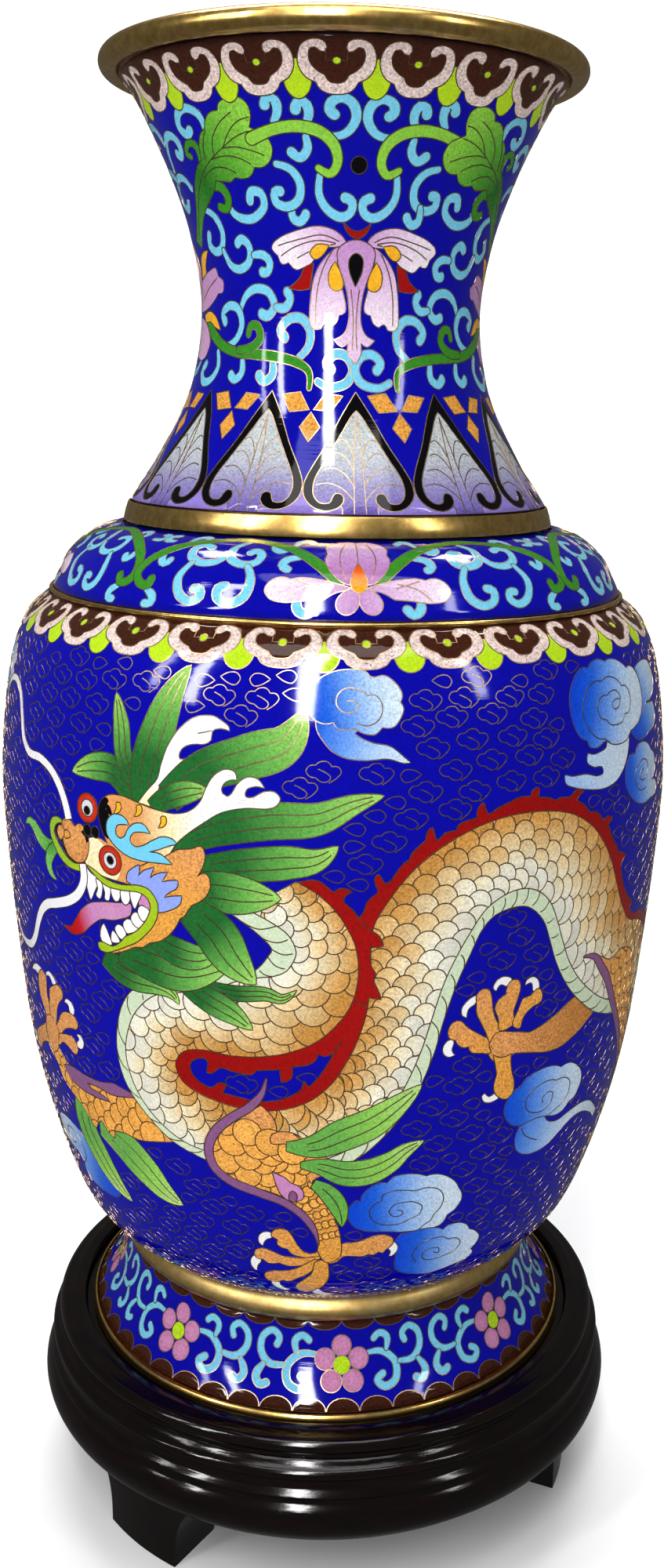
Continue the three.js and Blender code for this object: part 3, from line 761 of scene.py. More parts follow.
TOES_LEFT = [
    [(-99, 77), (-104, 77.8), (-110, 75.4), (-114.6, 71.8), (-117.4, 72), (-117.6, 75.6), (-113, 79),
     (-107, 82.2), (-101, 84.6)],
    [(-99.4, 86), (-102.6, 89.6), (-105, 94), (-103.6, 99.6), (-100.4, 101.6), (-97.8, 100), (-98.4, 95),
     (-97.4, 90)],
    [(-98, 89), (-97, 94), (-96, 97.4), (-93.4, 99), (-90.4, 100.3), (-87.6, 98.6), (-88.4, 96.4, 1),
     (-90.4, 94.8), (-92.4, 92), (-93.6, 88.6), (-95.4, 85.6)],
    [(-95, 85.4), (-92.2, 89), (-89.6, 92), (-86.4, 93.3), (-82.8, 93.2), (-81, 91.4), (-81.8, 89.4),
     (-84.4, 88.8, 1), (-88, 87.6), (-91.4, 85), (-94.4, 82.4)],
    [(-94.6, 83.4), (-90, 85.4), (-87.4, 85.9, 1), (-85.6, 86.3, 1), (-83, 84.6), (-82.6, 82.6),
     (-84.6, 80.6), (-87.4, 81.7), (-91, 82.4), (-94.4, 80.4)],
]
CLAWS_LEFT = [
    [(-115.6, 75.6), (-119.6, 76.4), (-122, 73.6), (-121, 71.4, 1), (-119.4, 73), (-116.6, 72.8)],
    [(-100.8, 101.6), (-103.6, 102.4), (-107.4, 101.2), (-110, 98.8, 1), (-106.6, 99.4), (-103, 99.4)],
    [(-91, 100.3), (-92.2, 101.8), (-94.8, 103), (-97.4, 101.8), (-97.4, 100.8, 1), (-95, 101.2),
     (-93.2, 99.4)],
    [(-83, 93.2), (-82, 95.2), (-83.4, 97.2), (-86.2, 97.4), (-87.2, 96, 1), (-85.2, 95.6),
     (-84.8, 93.6)],
    [(-83, 84), (-80.6, 83.6), (-79, 86), (-80.4, 88), (-82.4, 87.8, 1), (-81.4, 86.4), (-82.6, 85.4)],
]
LEG_RIGHT = [
    (53, 97.8), (56, 97.2, 1), (58, 96.6), (62, 97.3), (68, 99.5), (76, 103), (84, 103), (88, 97),
    (82, 92.6), (77, 90.2), (72, 88.7), (66, 88.7), (60, 90), (54, 91.2, 1), (47.4, 90), (44.6, 94),
    (47, 98.6),
]
TOES_RIGHT = [
    [(47, 97), (44.4, 97.6), (41, 99.6), (38, 101.6), (35.4, 104), (33.2, 103.8), (32, 101.8),
     (32.4, 99.4), (34.4, 98.4, 1), (35.2, 97), (37, 95.9), (38.4, 96, 1), (39.4, 94.2), (42.6, 93.4),
     (46, 93)],
    [(45.4, 96), (43.4, 99.4), (41.6, 102.6), (40, 105.6), (39.8, 108.4), (39.6, 110.8), (41.4, 112.3),
     (43.4, 111.8), (44.4, 109.4), (45.2, 105.6), (46.8, 102), (49, 99)],
    [(48, 99), (47, 103), (45.6, 106), (46.6, 108.4, 1), (48.8, 109.6, 1), (49, 112), (50.6, 113.4),
     (52.6, 113), (53.6, 111), (53, 107.4), (52, 104), (52.6, 100.4)],
    [(52, 100), (53.4, 104), (54.6, 107.2, 1), (57.4, 107.6, 1), (60, 109.2), (61.6, 107.4),
     (61.6, 105), (58.2, 103.8), (55.8, 101.8), (54.6, 98.4)],
    [(46.6, 94), (47.6, 89), (48.4, 86, 1), (47.8, 83, 1), (48.4, 80.4), (50.4, 78.4), (53, 77.5),
     (55, 79.2), (55, 82.2), (53.6, 86), (52.8, 90.4), (53.4, 94)],
]
CLAWS_RIGHT = [
    [(33.6, 99), (32, 98.6), (30.8, 96.8), (31.2, 94.8), (32.8, 93.7), (34.6, 94.2, 1), (33.6, 95.6),
     (34, 97.8)],
    [(39.8, 110.8), (37.2, 109.7), (35.5, 107.6), (35.8, 105.4), (37.2, 104.6, 1), (37.6, 107),
     (39.7, 108.6)],
    [(50.4, 113.6), (47.8, 114.9), (45.4, 114), (44.5, 112), (45.6, 111, 1), (46.8, 112.6), (49, 111.8)],
    [(60.2, 109), (59.6, 111.6), (57.6, 113), (55.4, 112.4), (55, 110.9, 1), (57.2, 111.2),
     (58.2, 108.4)],
    [(50.2, 78.6), (47.6, 77.6), (45.2, 78.2), (44.2, 80.2), (45.2, 80.9, 1), (46.8, 79.6), (48.6, 80.2)],
]
THIGH_RIGHT = [
    (86, 112), (92, 109.6), (100, 110.6), (108, 108), (116, 101), (121, 92), (125, 82), (129, 74),
    (132, 66), (131, 58), (125.6, 56), (121.6, 62), (118.4, 70), (113, 77), (106, 84), (101, 91),
    (96, 98), (90, 105),
]
FLAME_GREEN = [LEAF, LEAF, (150, 204, 96), (186, 220, 140)]
FAR_FOOT = (135.0, 14.0)  # how far the foot round the back is from the front one
FLAMING_PEARL = (-218.0, 140.0)
LEG_ROW = 4  # mm, between two rows of scales on a leg
TAIL_FLAMES = [
    ([(158, 149), (151, 155), (145, 162), (138, 166)], 6.6),
    ([(157, 150), (149, 150.6), (140, 150), (131, 152)], 6.4),
    ([(158, 147), (150, 143.6), (143, 141), (136, 135)], 6.4),
]


def leg_scales(art, home, path, wide, columns, rng, light):
    """Scales down a leg, laid from the foot end."""
    line = curve(path, 1.0, closed=False)
    side, _ = sideways(line)
    widths = np.interp(np.arange(len(line)), np.linspace(0, len(line) - 1, len(wide)), wide)
    for r, k in enumerate(range(len(line) - 1, 0, -LEG_ROW)):
        size = widths[k] / columns * SCALE_ROUND
        for c in range(columns + 1):
            across = (c + (0.5 if r % 2 else 0)) / columns - 0.5
            spot = line[k] + side[k] * widths[k] * across
            tone = np.array(GOLD) * (1 + rng.uniform(-0.03, 0.05)) + light * rng.uniform(0.4, 1)
            tone = np.minimum(tone, 245)
            art.cell(circle(spot, size, 16), glow([tone * 1.02, tone * 0.97], spot, size * 1.3, 1.0), home)


def draw_toes(art, toes, claws, paints, shift=(0, 0)):
    """The toes of a foot, each over its white claw."""
    for toe, claw, paint in zip(toes, claws, paints):
        art.shape(moved(claw, *shift), plain(WHITE, 0.1), step=0.7)
        art.shape(moved(toe, *shift), paint)


def draw_front_leg(art, rng):
    """The leg that crosses the body in front, with its purple edge and green flames."""
    number = art.shape(LEG_FRONT, fade([TAN, GOLD, GOLD], (-10, 76), (-10, 50), 1.0))
    leg_scales(art, number, [(-22, 74.5), (-24, 68), (-22, 61), (-14, 56), (-6, 52), (-2, 46), (0.6, 38)],
               [20, 22, 20, 15, 9, 7, 6.4], 3, rng, 14)
    for x, s, w in ((-12.4, 70.4, 6.4), (-3, 63.6, 6.2), (-1.6, 58.2, 6)):
        fold = [(-w * 0.6, 1.2), (0, 2.6), (w * 0.7, 0.6), (w * 0.66, -1.6), (0, -1.2), (-w * 0.6, -1.4)]
        art.shape(moved(fold, x, s), plain(TAN, 0.9), number, False)
    art.ribbon([(-17.2, 88.6), (-18.6, 84), (-22, 79.8), (-27.4, 75.8), (-32.6, 70.8), (-35.4, 64.6),
                (-34.2, 58.8), (-29.6, 55), (-21, 52.2), (-13, 49.4), (-7.6, 45.2), (-4.2, 40),
                (-2.8, 34.6)],
               [0.5, 2.4, 2.6, 2.8, 2.9, 2.9, 3.0, 2.8, 2.6, 2.4, 0.6], plain(PURPLE, 0.4))
    art.shape([(-16.4, 59.9, 1), (-14.6, 59), (-12.4, 58), (-11, 56.5), (-8.8, 55.6), (-7.2, 53.4),
               (-7.4, 51.2), (-9.4, 50.2), (-12, 50.4), (-14.2, 52.4),
               (-15.4, 55.6)], plain(PINK, 0.4), step=0.7)
    art.shape([(-10.6, 53.7), (-9.4, 52.9), (-9.2, 51), (-10, 49.8), (-11.4, 50.4), (-11.7, 52)],
              plain(PURPLE, 0.4), step=0.6)
    art.leaf([(-12, 68.4), (-4, 68.8), (4, 72.4), (12, 76), (19, 81), (25.6, 86.6)],
             10.0, FLAME_GREEN, 0.45, 0.3)
    art.leaf([(-8, 62.6), (-2, 62.2), (5, 60), (12, 60.4), (18, 63.2), (22, 66.4), (27.6, 69.2)],
             8.6, FLAME_GREEN, 0.45, 0.25)
    art.leaf([(-4.4, 56.6), (0, 53.4), (3.4, 48),
              (4.6, 41.2)], 6.2, [LEAF, LEAF, (120, 190, 80)], 0.45, 0.5, 1)
    to_left, to_right = [fade([GOLD, TAN], (-4, 30), end, 1.0) for end in ((-20, 24), (20, 33))]
    draw_toes(art, TOES_FRONT, CLAWS_FRONT, [to_right] + [to_left] * 4)
    art.shape([(-3.6, 33.6), (0, 35.4), (4.4, 34.6), (4.6, 30), (1, 27.4), (-3, 28), (-4, 30.6)],
              plain(GOLD, 1.0), wired=False, inside=number)


def draw_back_legs(art, rng):
    """The legs that pass behind the body: the left one and the right one."""
    art.leaf([(-84, 66), (-86, 57), (-82, 48), (-77, 41), (-70.8, 35.6)], 12.0, FLAME_GREEN, 0.4, 0.8)
    art.leaf([(-78, 60), (-68, 57), (-60, 51), (-54, 45.6), (-47.4, 42)], 13.0, FLAME_GREEN, 0.42, 0.5)
    left = art.shape(LEG_LEFT, fade([TAN, GOLD, TAN], (-60, 68), (-98, 80), 1.0))
    leg_scales(art, left, [(-52, 68), (-60, 67.4), (-70, 66.6), (-80, 66.6), (-90, 69.6), (-97, 75)],
               [15, 14, 13, 12, 11, 9], 2, rng, 10)
    art.shape([(-57, 75.8, 1), (-62, 76.4), (-67.4, 77.2), (-73, 76), (-80, 75.6), (-88, 75.9),
               (-93, 74.4), (-91, 71.6), (-85, 70), (-77, 69.8), (-70, 70.4, 1), (-73, 71.6),
               (-78.6, 72.2), (-80.4, 73), (-76, 73.6), (-68, 73.2), (-62, 74.4)], plain(PURPLE, 0.4))
    draw_toes(art, TOES_LEFT, CLAWS_LEFT, [plain(TAN, 1.0)] * 5)
    art.shape([(-103, 84), (-100, 88), (-96, 88), (-93, 84), (-95, 79.4), (-99, 76.6), (-102.4, 79)],
              plain(TAN, 1.0), wired=False, inside=left)
    right = art.shape(LEG_RIGHT, fade([TAN, (206, 146, 84), (190, 130, 66)], (48, 96), (84, 96), 1.1))
    draw_toes(art, TOES_RIGHT, CLAWS_RIGHT, [fade([GOLD, TAN], (50, 96), (42, 108), 1.0)] * 5)
    art.shape([(46, 93), (45, 96.4), (48, 99.4), (52, 99.6), (55, 97), (54, 92), (49, 91)],
              plain(TAN, 1.0), wired=False, inside=right)


def draw_far_side(art, rng):
    """What the round of the vase hides: the other thigh and foot, the tail's flames and a flaming pearl."""
    shin = art.ribbon([(124, 66), (129, 58), (133, 51), (134, 45)], [13, 10, 7, 6.5], plain(GOLD, 1.0))
    leg_scales(art, shin, [(126, 63), (130.4, 55.6), (133.6, 48.6)], [11, 9, 6.4], 3, rng, 8)
    draw_toes(art, TOES_FRONT, CLAWS_FRONT, [plain(TAN, 1.0)] * 5, FAR_FOOT)
    art.cell(circle((FAR_FOOT[0], FAR_FOOT[1] + 31), 4.2, 20), plain(TAN, 1.0), shin, False)
    thigh = art.shape(THIGH_RIGHT, fade([TAN, GOLD, GOLD], (96, 108), (126, 62), 1.0))
    leg_scales(art, thigh, [(92, 106), (100, 102), (108, 95), (114, 87), (119, 78), (124, 68), (127, 60)],
               [12, 17, 18, 15, 12, 10, 9], 3, rng, 10)
    art.ribbon([(77.5, 114.2), (83, 112.8), (88, 108), (92, 104), (97, 97), (104, 88), (112, 78),
                (118, 69), (122, 60)],
               [0.6, 2.6, 3.0, 3.0, 2.9, 2.8, 2.6, 2.2, 0.6], plain(PURPLE, 0.4))
    art.leaf([(118, 92), (124, 97), (131, 99), (139, 104)], 8.0, FLAME_GREEN, 0.45, 0.3)
    art.leaf([(122, 82), (130, 85), (138, 85), (147, 89)], 8.4, FLAME_GREEN, 0.45, 0.3)
    for spine, width in TAIL_FLAMES:
        art.leaf(spine, width, [FOREST, LEAF, SPRING], 0.5, 0.35)
    art.leaf([(163, 146), (156, 150.6), (149, 153.4), (141, 155)], 7.0, [GOLD, TAN, SAND], 0.3, 0.8, 1)
    for lift, reach, width in ((-6, 26, 6.5), (0, 34, 7.5), (6, 24, 6.5)):
        flame = [(3, lift), (10, 1.6 * lift), (0.7 * reach, lift + 2), (reach, 1.5 * lift + 5)]
        art.leaf(moved(flame, *FLAMING_PEARL), width, [RED, EYE_RED, ORANGE], 0.4, 0.5, 1)
    shine = glow([WHITE, PALE_PINK, EYE_RED], FLAMING_PEARL, 8.2, 0.4)
    pearl = art.cell(circle(FLAMING_PEARL, 7.4, 36), shine)
    spiral = [(-3.6, 0), (-1, 3.4), (3, 1.6), (2.4, -2.4), (-1, -2.2), (-0.6, 0)]
    art.vein(moved(spiral, *FLAMING_PEARL), pearl, 0.7)


# Rolled clouds: the outline, the wires inside, and the two sides that the blues run between.
CLOUDS = [
    (
        [(-4.6, 184.2, 1), (-2.6, 183.6), (-0.4, 184, 1), (0.6, 182.6), (3, 182.2), (5, 182.6),
         (6.6, 181.6), (10, 181), (12, 182.8, 1), (14.6, 182.7), (16.4, 184.4), (17.6, 187.4),
         (16.8, 189, 1), (17.4, 190.6), (16.2, 193.2), (13, 195.6), (10.4, 195.2, 1), (9, 195.4, 1),
         (7.6, 196.8), (4, 197.2), (-1, 196.4), (-5, 194), (-7, 190), (-6.4, 186)],
        [[(3, 189.3), (5.4, 189), (6, 187.6), (4.6, 186.6), (2, 186.6), (0.3, 188.4), (0.6, 190.8),
          (2.6, 192.4), (5.4, 192.4), (7.2, 191.6), (8.2, 190.6, 1), (10.2, 190.8), (11.8, 189),
          (12, 186.6), (10.6, 184.2), (7.8, 183.2), (5.6, 183.8), (5, 182.6)]],
        (-8, 188), (15, 192),
    ),
    (
        [(73.4, 175.2, 1), (74.6, 173.2), (78, 172.6), (81.4, 173.8), (83, 173.4, 1), (85, 172.5),
         (89, 172), (93, 172.6), (95.6, 174.6, 1), (99, 174.8), (103, 177.4), (105.4, 182), (105.2, 187),
         (103, 190.6), (100, 192), (97.8, 191.6, 1), (96, 193), (92, 194.8), (88, 195.2),
         (86.6, 194.8, 1), (83, 195.8), (79.6, 195.2), (77.6, 194, 1), (74, 194), (70.4, 191.4),
         (68, 187.6), (67.6, 183), (69, 178.6), (71.4, 175.8)],
        [[(90.6, 184), (88, 184.2), (86.2, 183), (87.6, 181.6), (90, 182.4), (91, 184.4), (89.4, 186.4),
          (86, 186.6), (84.4, 185.8, 1), (81, 185.6), (79, 183.4), (80, 180.4), (82.8, 179.4, 1),
          (84.4, 178), (88, 177.4), (91.4, 178), (92.6, 179.6, 1), (95.4, 180), (97, 182.6),
          (96.4, 185.6), (94.6, 187.2), (92.8, 187.2, 1), (90.4, 189.4), (86, 190.6), (82.6, 189.8, 1),
          (79, 190), (74.8, 187.6), (72.6, 183.4), (73.8, 178.8), (78, 175.2), (82, 174.2), (84, 173)]],
        (70, 186), (98, 178),
    ),
    (
        [(91.4, 162), (92.6, 166.4), (95.6, 168), (98.4, 168, 1), (100, 169.8), (104, 170.2),
         (108.4, 168.8), (111, 166.6, 1), (114, 165), (115.2, 161.6), (113.6, 158.8), (110.8, 158, 1),
         (114.6, 157.4), (117, 155.4), (115.6, 153.2), (110, 152.8, 1), (104.6, 152.5), (99.6, 153.6),
         (95.4, 155.8), (92.2, 159)],
        [[(104, 162.4), (101.8, 162), (101, 160.6), (103, 159.4), (106, 159.8), (107.6, 161.8),
          (106.6, 164.4), (103, 165.2), (99.4, 164), (97.6, 161.4), (99, 158.2), (102, 156.8),
          (106, 156.8)]],
        (91, 160), (114, 164),
    ),
    (
        [(103.4, 190.8, 1), (108, 191.9), (113.6, 192), (117.6, 190.8), (120, 187), (119.4, 184),
         (116, 181.6), (111, 180.2), (108.6, 180.2, 1), (112, 180), (116, 179.4), (117.6, 176.4),
         (116, 173.2), (111, 171.8), (109.6, 172, 1), (106.4, 171), (101, 171), (97, 173),
         (95.6, 174.4, 1), (103, 177.4), (105.6, 183), (105, 188)],
        [[(105.6, 178), (108.6, 180.2), (112, 180.4)]],
        (98, 175), (118, 186),
    ),
    (
        [(60.6, 67, 1), (57, 68), (54, 70.6), (52.6, 73.6), (53, 76.6), (54.6, 79, 1), (57.6, 80.4),
         (58.8, 81.8, 1), (62, 83.2), (67, 83.8), (71, 83.2), (73.6, 82, 1), (77.6, 82.2), (82, 80),
         (85.4, 76.4), (85.8, 72.6), (83.6, 69, 1), (80.4, 68), (78.6, 66.4), (75, 66), (71.4, 67, 1),
         (66, 67.8)],
        [[(68, 72.4), (67.4, 74), (69, 75.2), (71.6, 74.6), (71.8, 71.8), (69.4, 69.8), (65.4, 69.8),
          (61.6, 71.8), (60.6, 75), (62.4, 77.4), (66, 78.8), (70, 79), (72.6, 78, 1), (76, 78),
          (79.4, 75.8), (79.8, 72), (77.6, 69.4), (74, 68), (71.4, 67)]],
        (52, 72), (82, 76),
    ),
    (
        [(6.2, 46), (6.5, 48.5), (8.2, 50.4), (9.8, 50.5, 1), (10.2, 52.6), (12.5, 55), (15.3, 56.6),
         (17.5, 56.3, 1), (19.5, 58.2), (24, 58.7), (27.6, 58), (29.4, 57.2, 1), (33, 57.3), (37, 55.5),
         (40, 52.8), (41, 51, 1), (42.4, 49), (42.9, 46.4), (41.4, 43.4), (38.8, 41.6, 1), (37.6, 38.8),
         (34, 37.5), (29, 37.6), (24, 37.8), (20, 38.4), (13.4, 39, 1), (9.6, 40.2), (7, 42.6)],
        [[(21.6, 46.2), (23.4, 45.6), (23, 44.2), (20.6, 44), (19, 45.8), (20.4, 48.2), (23.6, 48.8, 1),
          (26.4, 48.6), (29.4, 46.6), (29, 43.8), (26, 42.6, 1), (24, 41.4), (19, 41), (14.6, 42.6),
          (12.8, 45.8), (14.2, 49), (16.4, 50.2, 1), (16.6, 52), (19.6, 53.2), (24, 53), (26.6, 52.4, 1),
          (30, 53), (34.4, 51.6), (36.4, 48), (35.6, 44.6), (34, 43, 1), (33.4, 41), (30.6, 39),
          (29.6, 37.8)]],
        (8, 45), (37, 47),
    ),
    (
        [(21.6, 34), (24, 37, 1), (31, 37.9), (36, 37.4), (38.4, 36.2, 1), (40.4, 37.4), (44.4, 37.4),
         (47.6, 35.6), (48.8, 33.8, 1), (52, 32), (54.3, 29), (53.4, 26), (52, 25, 1), (53.6, 22.8),
         (51.6, 20.6), (46, 19.4), (42, 18.6), (36, 18), (31.4, 19, 1), (27, 20.4), (23.6, 23), (23, 26),
         (22.8, 30)],
        [[(36.6, 27.6), (38.8, 27), (38.4, 28.8), (35.6, 29.4), (32.8, 28.2), (33.2, 25.6), (36.6, 24.4),
          (40.6, 25), (45, 26), (46.6, 29), (44.4, 31.4), (41.6, 31.6, 1), (38.6, 33.2), (34, 33),
          (30.6, 31.4), (29, 28), (31, 24.4)]],
        (24, 26), (51, 26),
    ),
    (
        [(-113, 49), (-108.6, 52.6), (-102, 53.8), (-97, 53.4, 1), (-93, 52.4), (-89.6, 49.6),
         (-87.6, 46, 1), (-84, 43.4), (-80.4, 40.6), (-76.6, 36.2, 1), (-80.4, 33.4), (-86, 32.6),
         (-92, 32.4), (-97.6, 34), (-99.6, 36.6), (-98, 39.2, 1), (-101, 41.6), (-108, 42), (-112.4, 45)],
        [[(-102, 47), (-100, 45.6), (-102.6, 44.6), (-105.6, 46.6), (-104, 49.8), (-99, 50.2),
          (-95, 47.6), (-94, 43.6), (-98, 39.2)]],
        (-79, 36), (-110, 50),
    ),
]
CLOUD_TAILS = [
    (
        [(-4.9, 185, 1), (-4.5, 182), (-2.6, 179), (-0.6, 176.9), (3, 175.2), (8, 174.7), (13.6, 175),
         (17.4, 173.9), (19.2, 174, 1), (17.2, 175.8), (14, 178.2), (10, 179), (7, 180.1), (5, 181.4, 1),
         (7, 184)],
        (-5, 180), (19, 175),
    ),
    (
        [(94.4, 176, 1), (94.2, 171.6), (92.8, 168), (89.6, 164.2), (85.6, 162), (80, 161.3), (74, 162),
         (68, 163.4), (64.6, 165), (64.4, 167.2), (67, 166.6), (72.6, 166.4), (77.4, 165.2), (80, 165.6),
         (79.6, 167.2), (76, 167.7), (73.2, 169.4), (73.6, 171.7), (75.6, 171.2), (79, 171.4),
         (82, 172.4), (82.6, 174.8)],
        (40, 165), (88, 170),
    ),
    (
        [(61.6, 68.6, 1), (59.2, 65.6), (58.8, 62.6), (60.6, 58.6), (65, 56), (70, 55.4), (74.6, 56.2),
         (79.4, 58.8), (84, 61), (89, 61.7), (94, 60.6), (100, 57.6), (104, 55), (105, 56.6), (100, 61),
         (95, 64), (89, 65.3), (83, 64.9), (77, 63.8), (72.4, 65), (70.4, 66.8, 1), (68, 70)],
        (58, 64), (84, 60),
    ),
]
# The same clouds again round the back: which cloud, how far it goes round and up, and how big it is.
BACK_CLOUDS = [
    (1, 100, -2, 1.0), (5, 128, -2, 1.0), (4, 190, 0, 1.0), (2, 150, 18, 1.0), (5, -222, 14, 1.0),
    (0, -140, -4, 1.0), (4, -232, -8, 1.0), (6, -260, 60, 1.0), (1, -250, -44, 0.9), (0, 256, -92, 1.0),
    (1, -369, -4, 1.0), (3, -371, -62, 1.0), (6, -322, 14, 1.0), (0, 290, -40, 1.0), (5, 270, -8, 1.0),
]
BLUES = [(8, 78, 214), (34, 104, 216), (112, 160, 232), (178, 204, 236), (206, 222, 236)]


def place_cloud(art, which, dx, ds, size):
    """One rolled cloud with its wires."""
    outline, wires, start, end = CLOUDS[which]
    middle = np.mean([p[:2] for p in outline], 0)

    def put(points):
        return moved(moved(points, *-middle), middle[0] + dx, middle[1] + ds, scale=size)

    number = art.shape(put(outline), fade(BLUES, put([start])[0], put([end])[0], 0.6))
    for wire in wires:
        art.vein(put(wire), number)


def draw_clouds(art):
    """Every rolled cloud, in front and behind."""
    for outline, start, end in CLOUD_TAILS:
        tail = art.shape(outline, fade(BLUES[1:], start, end, 0.5))
    art.vein([(60.6, 67), (62, 64), (65, 61.6), (69, 59.8)], tail)
    for which in range(len(CLOUDS)):
        place_cloud(art, which, 0, 0, 1)
    for spot in BACK_CLOUDS:
        place_cloud(art, *spot)


MOTIF = [
    (-1.3, 0.7), (0.7, -0.2), (2.0, -1.3), (1.5, -2.4), (-0.2, -2.7), (-1.9, -1.6, 1), (-3.4, -1.3),
    (-4.5, 0.1), (-3.6, 1.5), (-2.0, 1.7, 1), (-0.8, 2.6), (1.2, 2.6), (2.3, 1.4, 1), (4.0, 1.3),
    (4.8, 0.1), (3.8, -1.4), (1.6, -2.9),
]
TEARDROP = [(-2.8, 0.3, 1), (-0.6, 1.5), (1.6, 1.5), (2.7, 0.1), (1.6, -1.5), (-0.4, -1.2)]
MOTIF_STEP = (11.0, 5.8)  # how far apart the small clouds of the ground are, across and up
NUDGES = ((0, 0), (-1.8, 0.3), (1.8, -0.3), (-3.2, 0), (3.2, 0), (0, 1.6), (0, -1.6))  # tried in turn


def footprint(outline):
    """The raster cells inside a small outline, counted from its origin."""
    low = np.floor(outline.min(0) / Raster.PITCH).astype(int)
    high = np.ceil(outline.max(0) / Raster.PITCH).astype(int)
    cols, rows = np.meshgrid(np.arange(low[0], high[0] + 1), np.arange(low[1], high[1] + 1))
    cols, rows = cols.ravel(), rows.ravel()
    within = inside_outline(outline, cols * Raster.PITCH, rows * Raster.PITCH)
    return cols[within], rows[within]


def fill_ground(art, rng):
    """The lines of small wire clouds over the whole ground, and of teardrops where no cloud fits."""
    taken = Raster(art).top_cell > 0
    left, right, bottom, top = art.box
    cloud_wire = curve(MOTIF, 0.7, closed=False) * 0.95
    drop_wire = closed_wire(TEARDROP, 0.6)
    cloud_room = footprint(cloud_wire * 1.16)
    step = (right - left) / round((right - left) / MOTIF_STEP[0])
    wires = []

    def try_spot(wire, room, x, s):
        cols = (room[0] + int((x - left) / Raster.PITCH)) % taken.shape[1]
        rows = room[1] + int((s - bottom) / Raster.PITCH)
        if rows.min() < 2 or rows.max() > taken.shape[0] - 2:
            return False
        if taken[rows, cols].any():
            return False
        taken[rows, cols] = True
        wires.append(wire + [x, s])
        return True

    for r, s in enumerate(np.arange(bottom + 3.6, top - 4, MOTIF_STEP[1])):
        for x in np.arange(left + (r % 2) * step / 2, right - step / 4, step):
            dx, ds = rng.uniform(-0.5, 0.5), rng.uniform(-0.35, 0.35)
            for nudge_x, nudge_s in NUDGES:
                if try_spot(cloud_wire, cloud_room, x + dx + nudge_x, s + ds + nudge_s):
                    break
    drops = [(drop_wire * [flip, 1], footprint(drop_wire * [1.3 * flip, 1.3])) for flip in (1, -1)]
    for r, s in enumerate(np.arange(bottom + 2.4, top - 3, 1.1)):
        for x in np.arange(left + (r % 2), right, 2.0):
            wire, room = drops[rng.uniform() < 0.4]
            try_spot(wire, room, x, s)
    return wires


# ---------------------------------------------------------------- flowers and scrolls on the other bands
GRASS = (64, 146, 44)
LIME_LEAF = (146, 204, 76)
SCROLL = (128, 204, 230)
NECK_R0, SHOULDER_R0, FOOT_R0 = 50.0, 75.0, 70.0
NECK_TOP, SHOULDER_TOP, FOOT_TOP = 125.5, 28.8, 25.0
NECK_BORDER = 118.8  # up to the middle of the neck border's cloud heads
NECK_HEADS = 18
NECK_MIDDLE = 4.3  # the line that the neck's scrolls are mirrored about
LOTUS_MIDDLE = -74.5
LAPPETS = 12
LAPPET_MIDDLE = 4.8
SHOULDER_FLOWERS = 4
SHOULDER_MIDDLE = 5.2
SHOULDER_SEAM = 64.1
FOOT_FLOWERS = 8
FOOT_MIDDLE = 5
FOOT_FLOWER_UP = 12.6

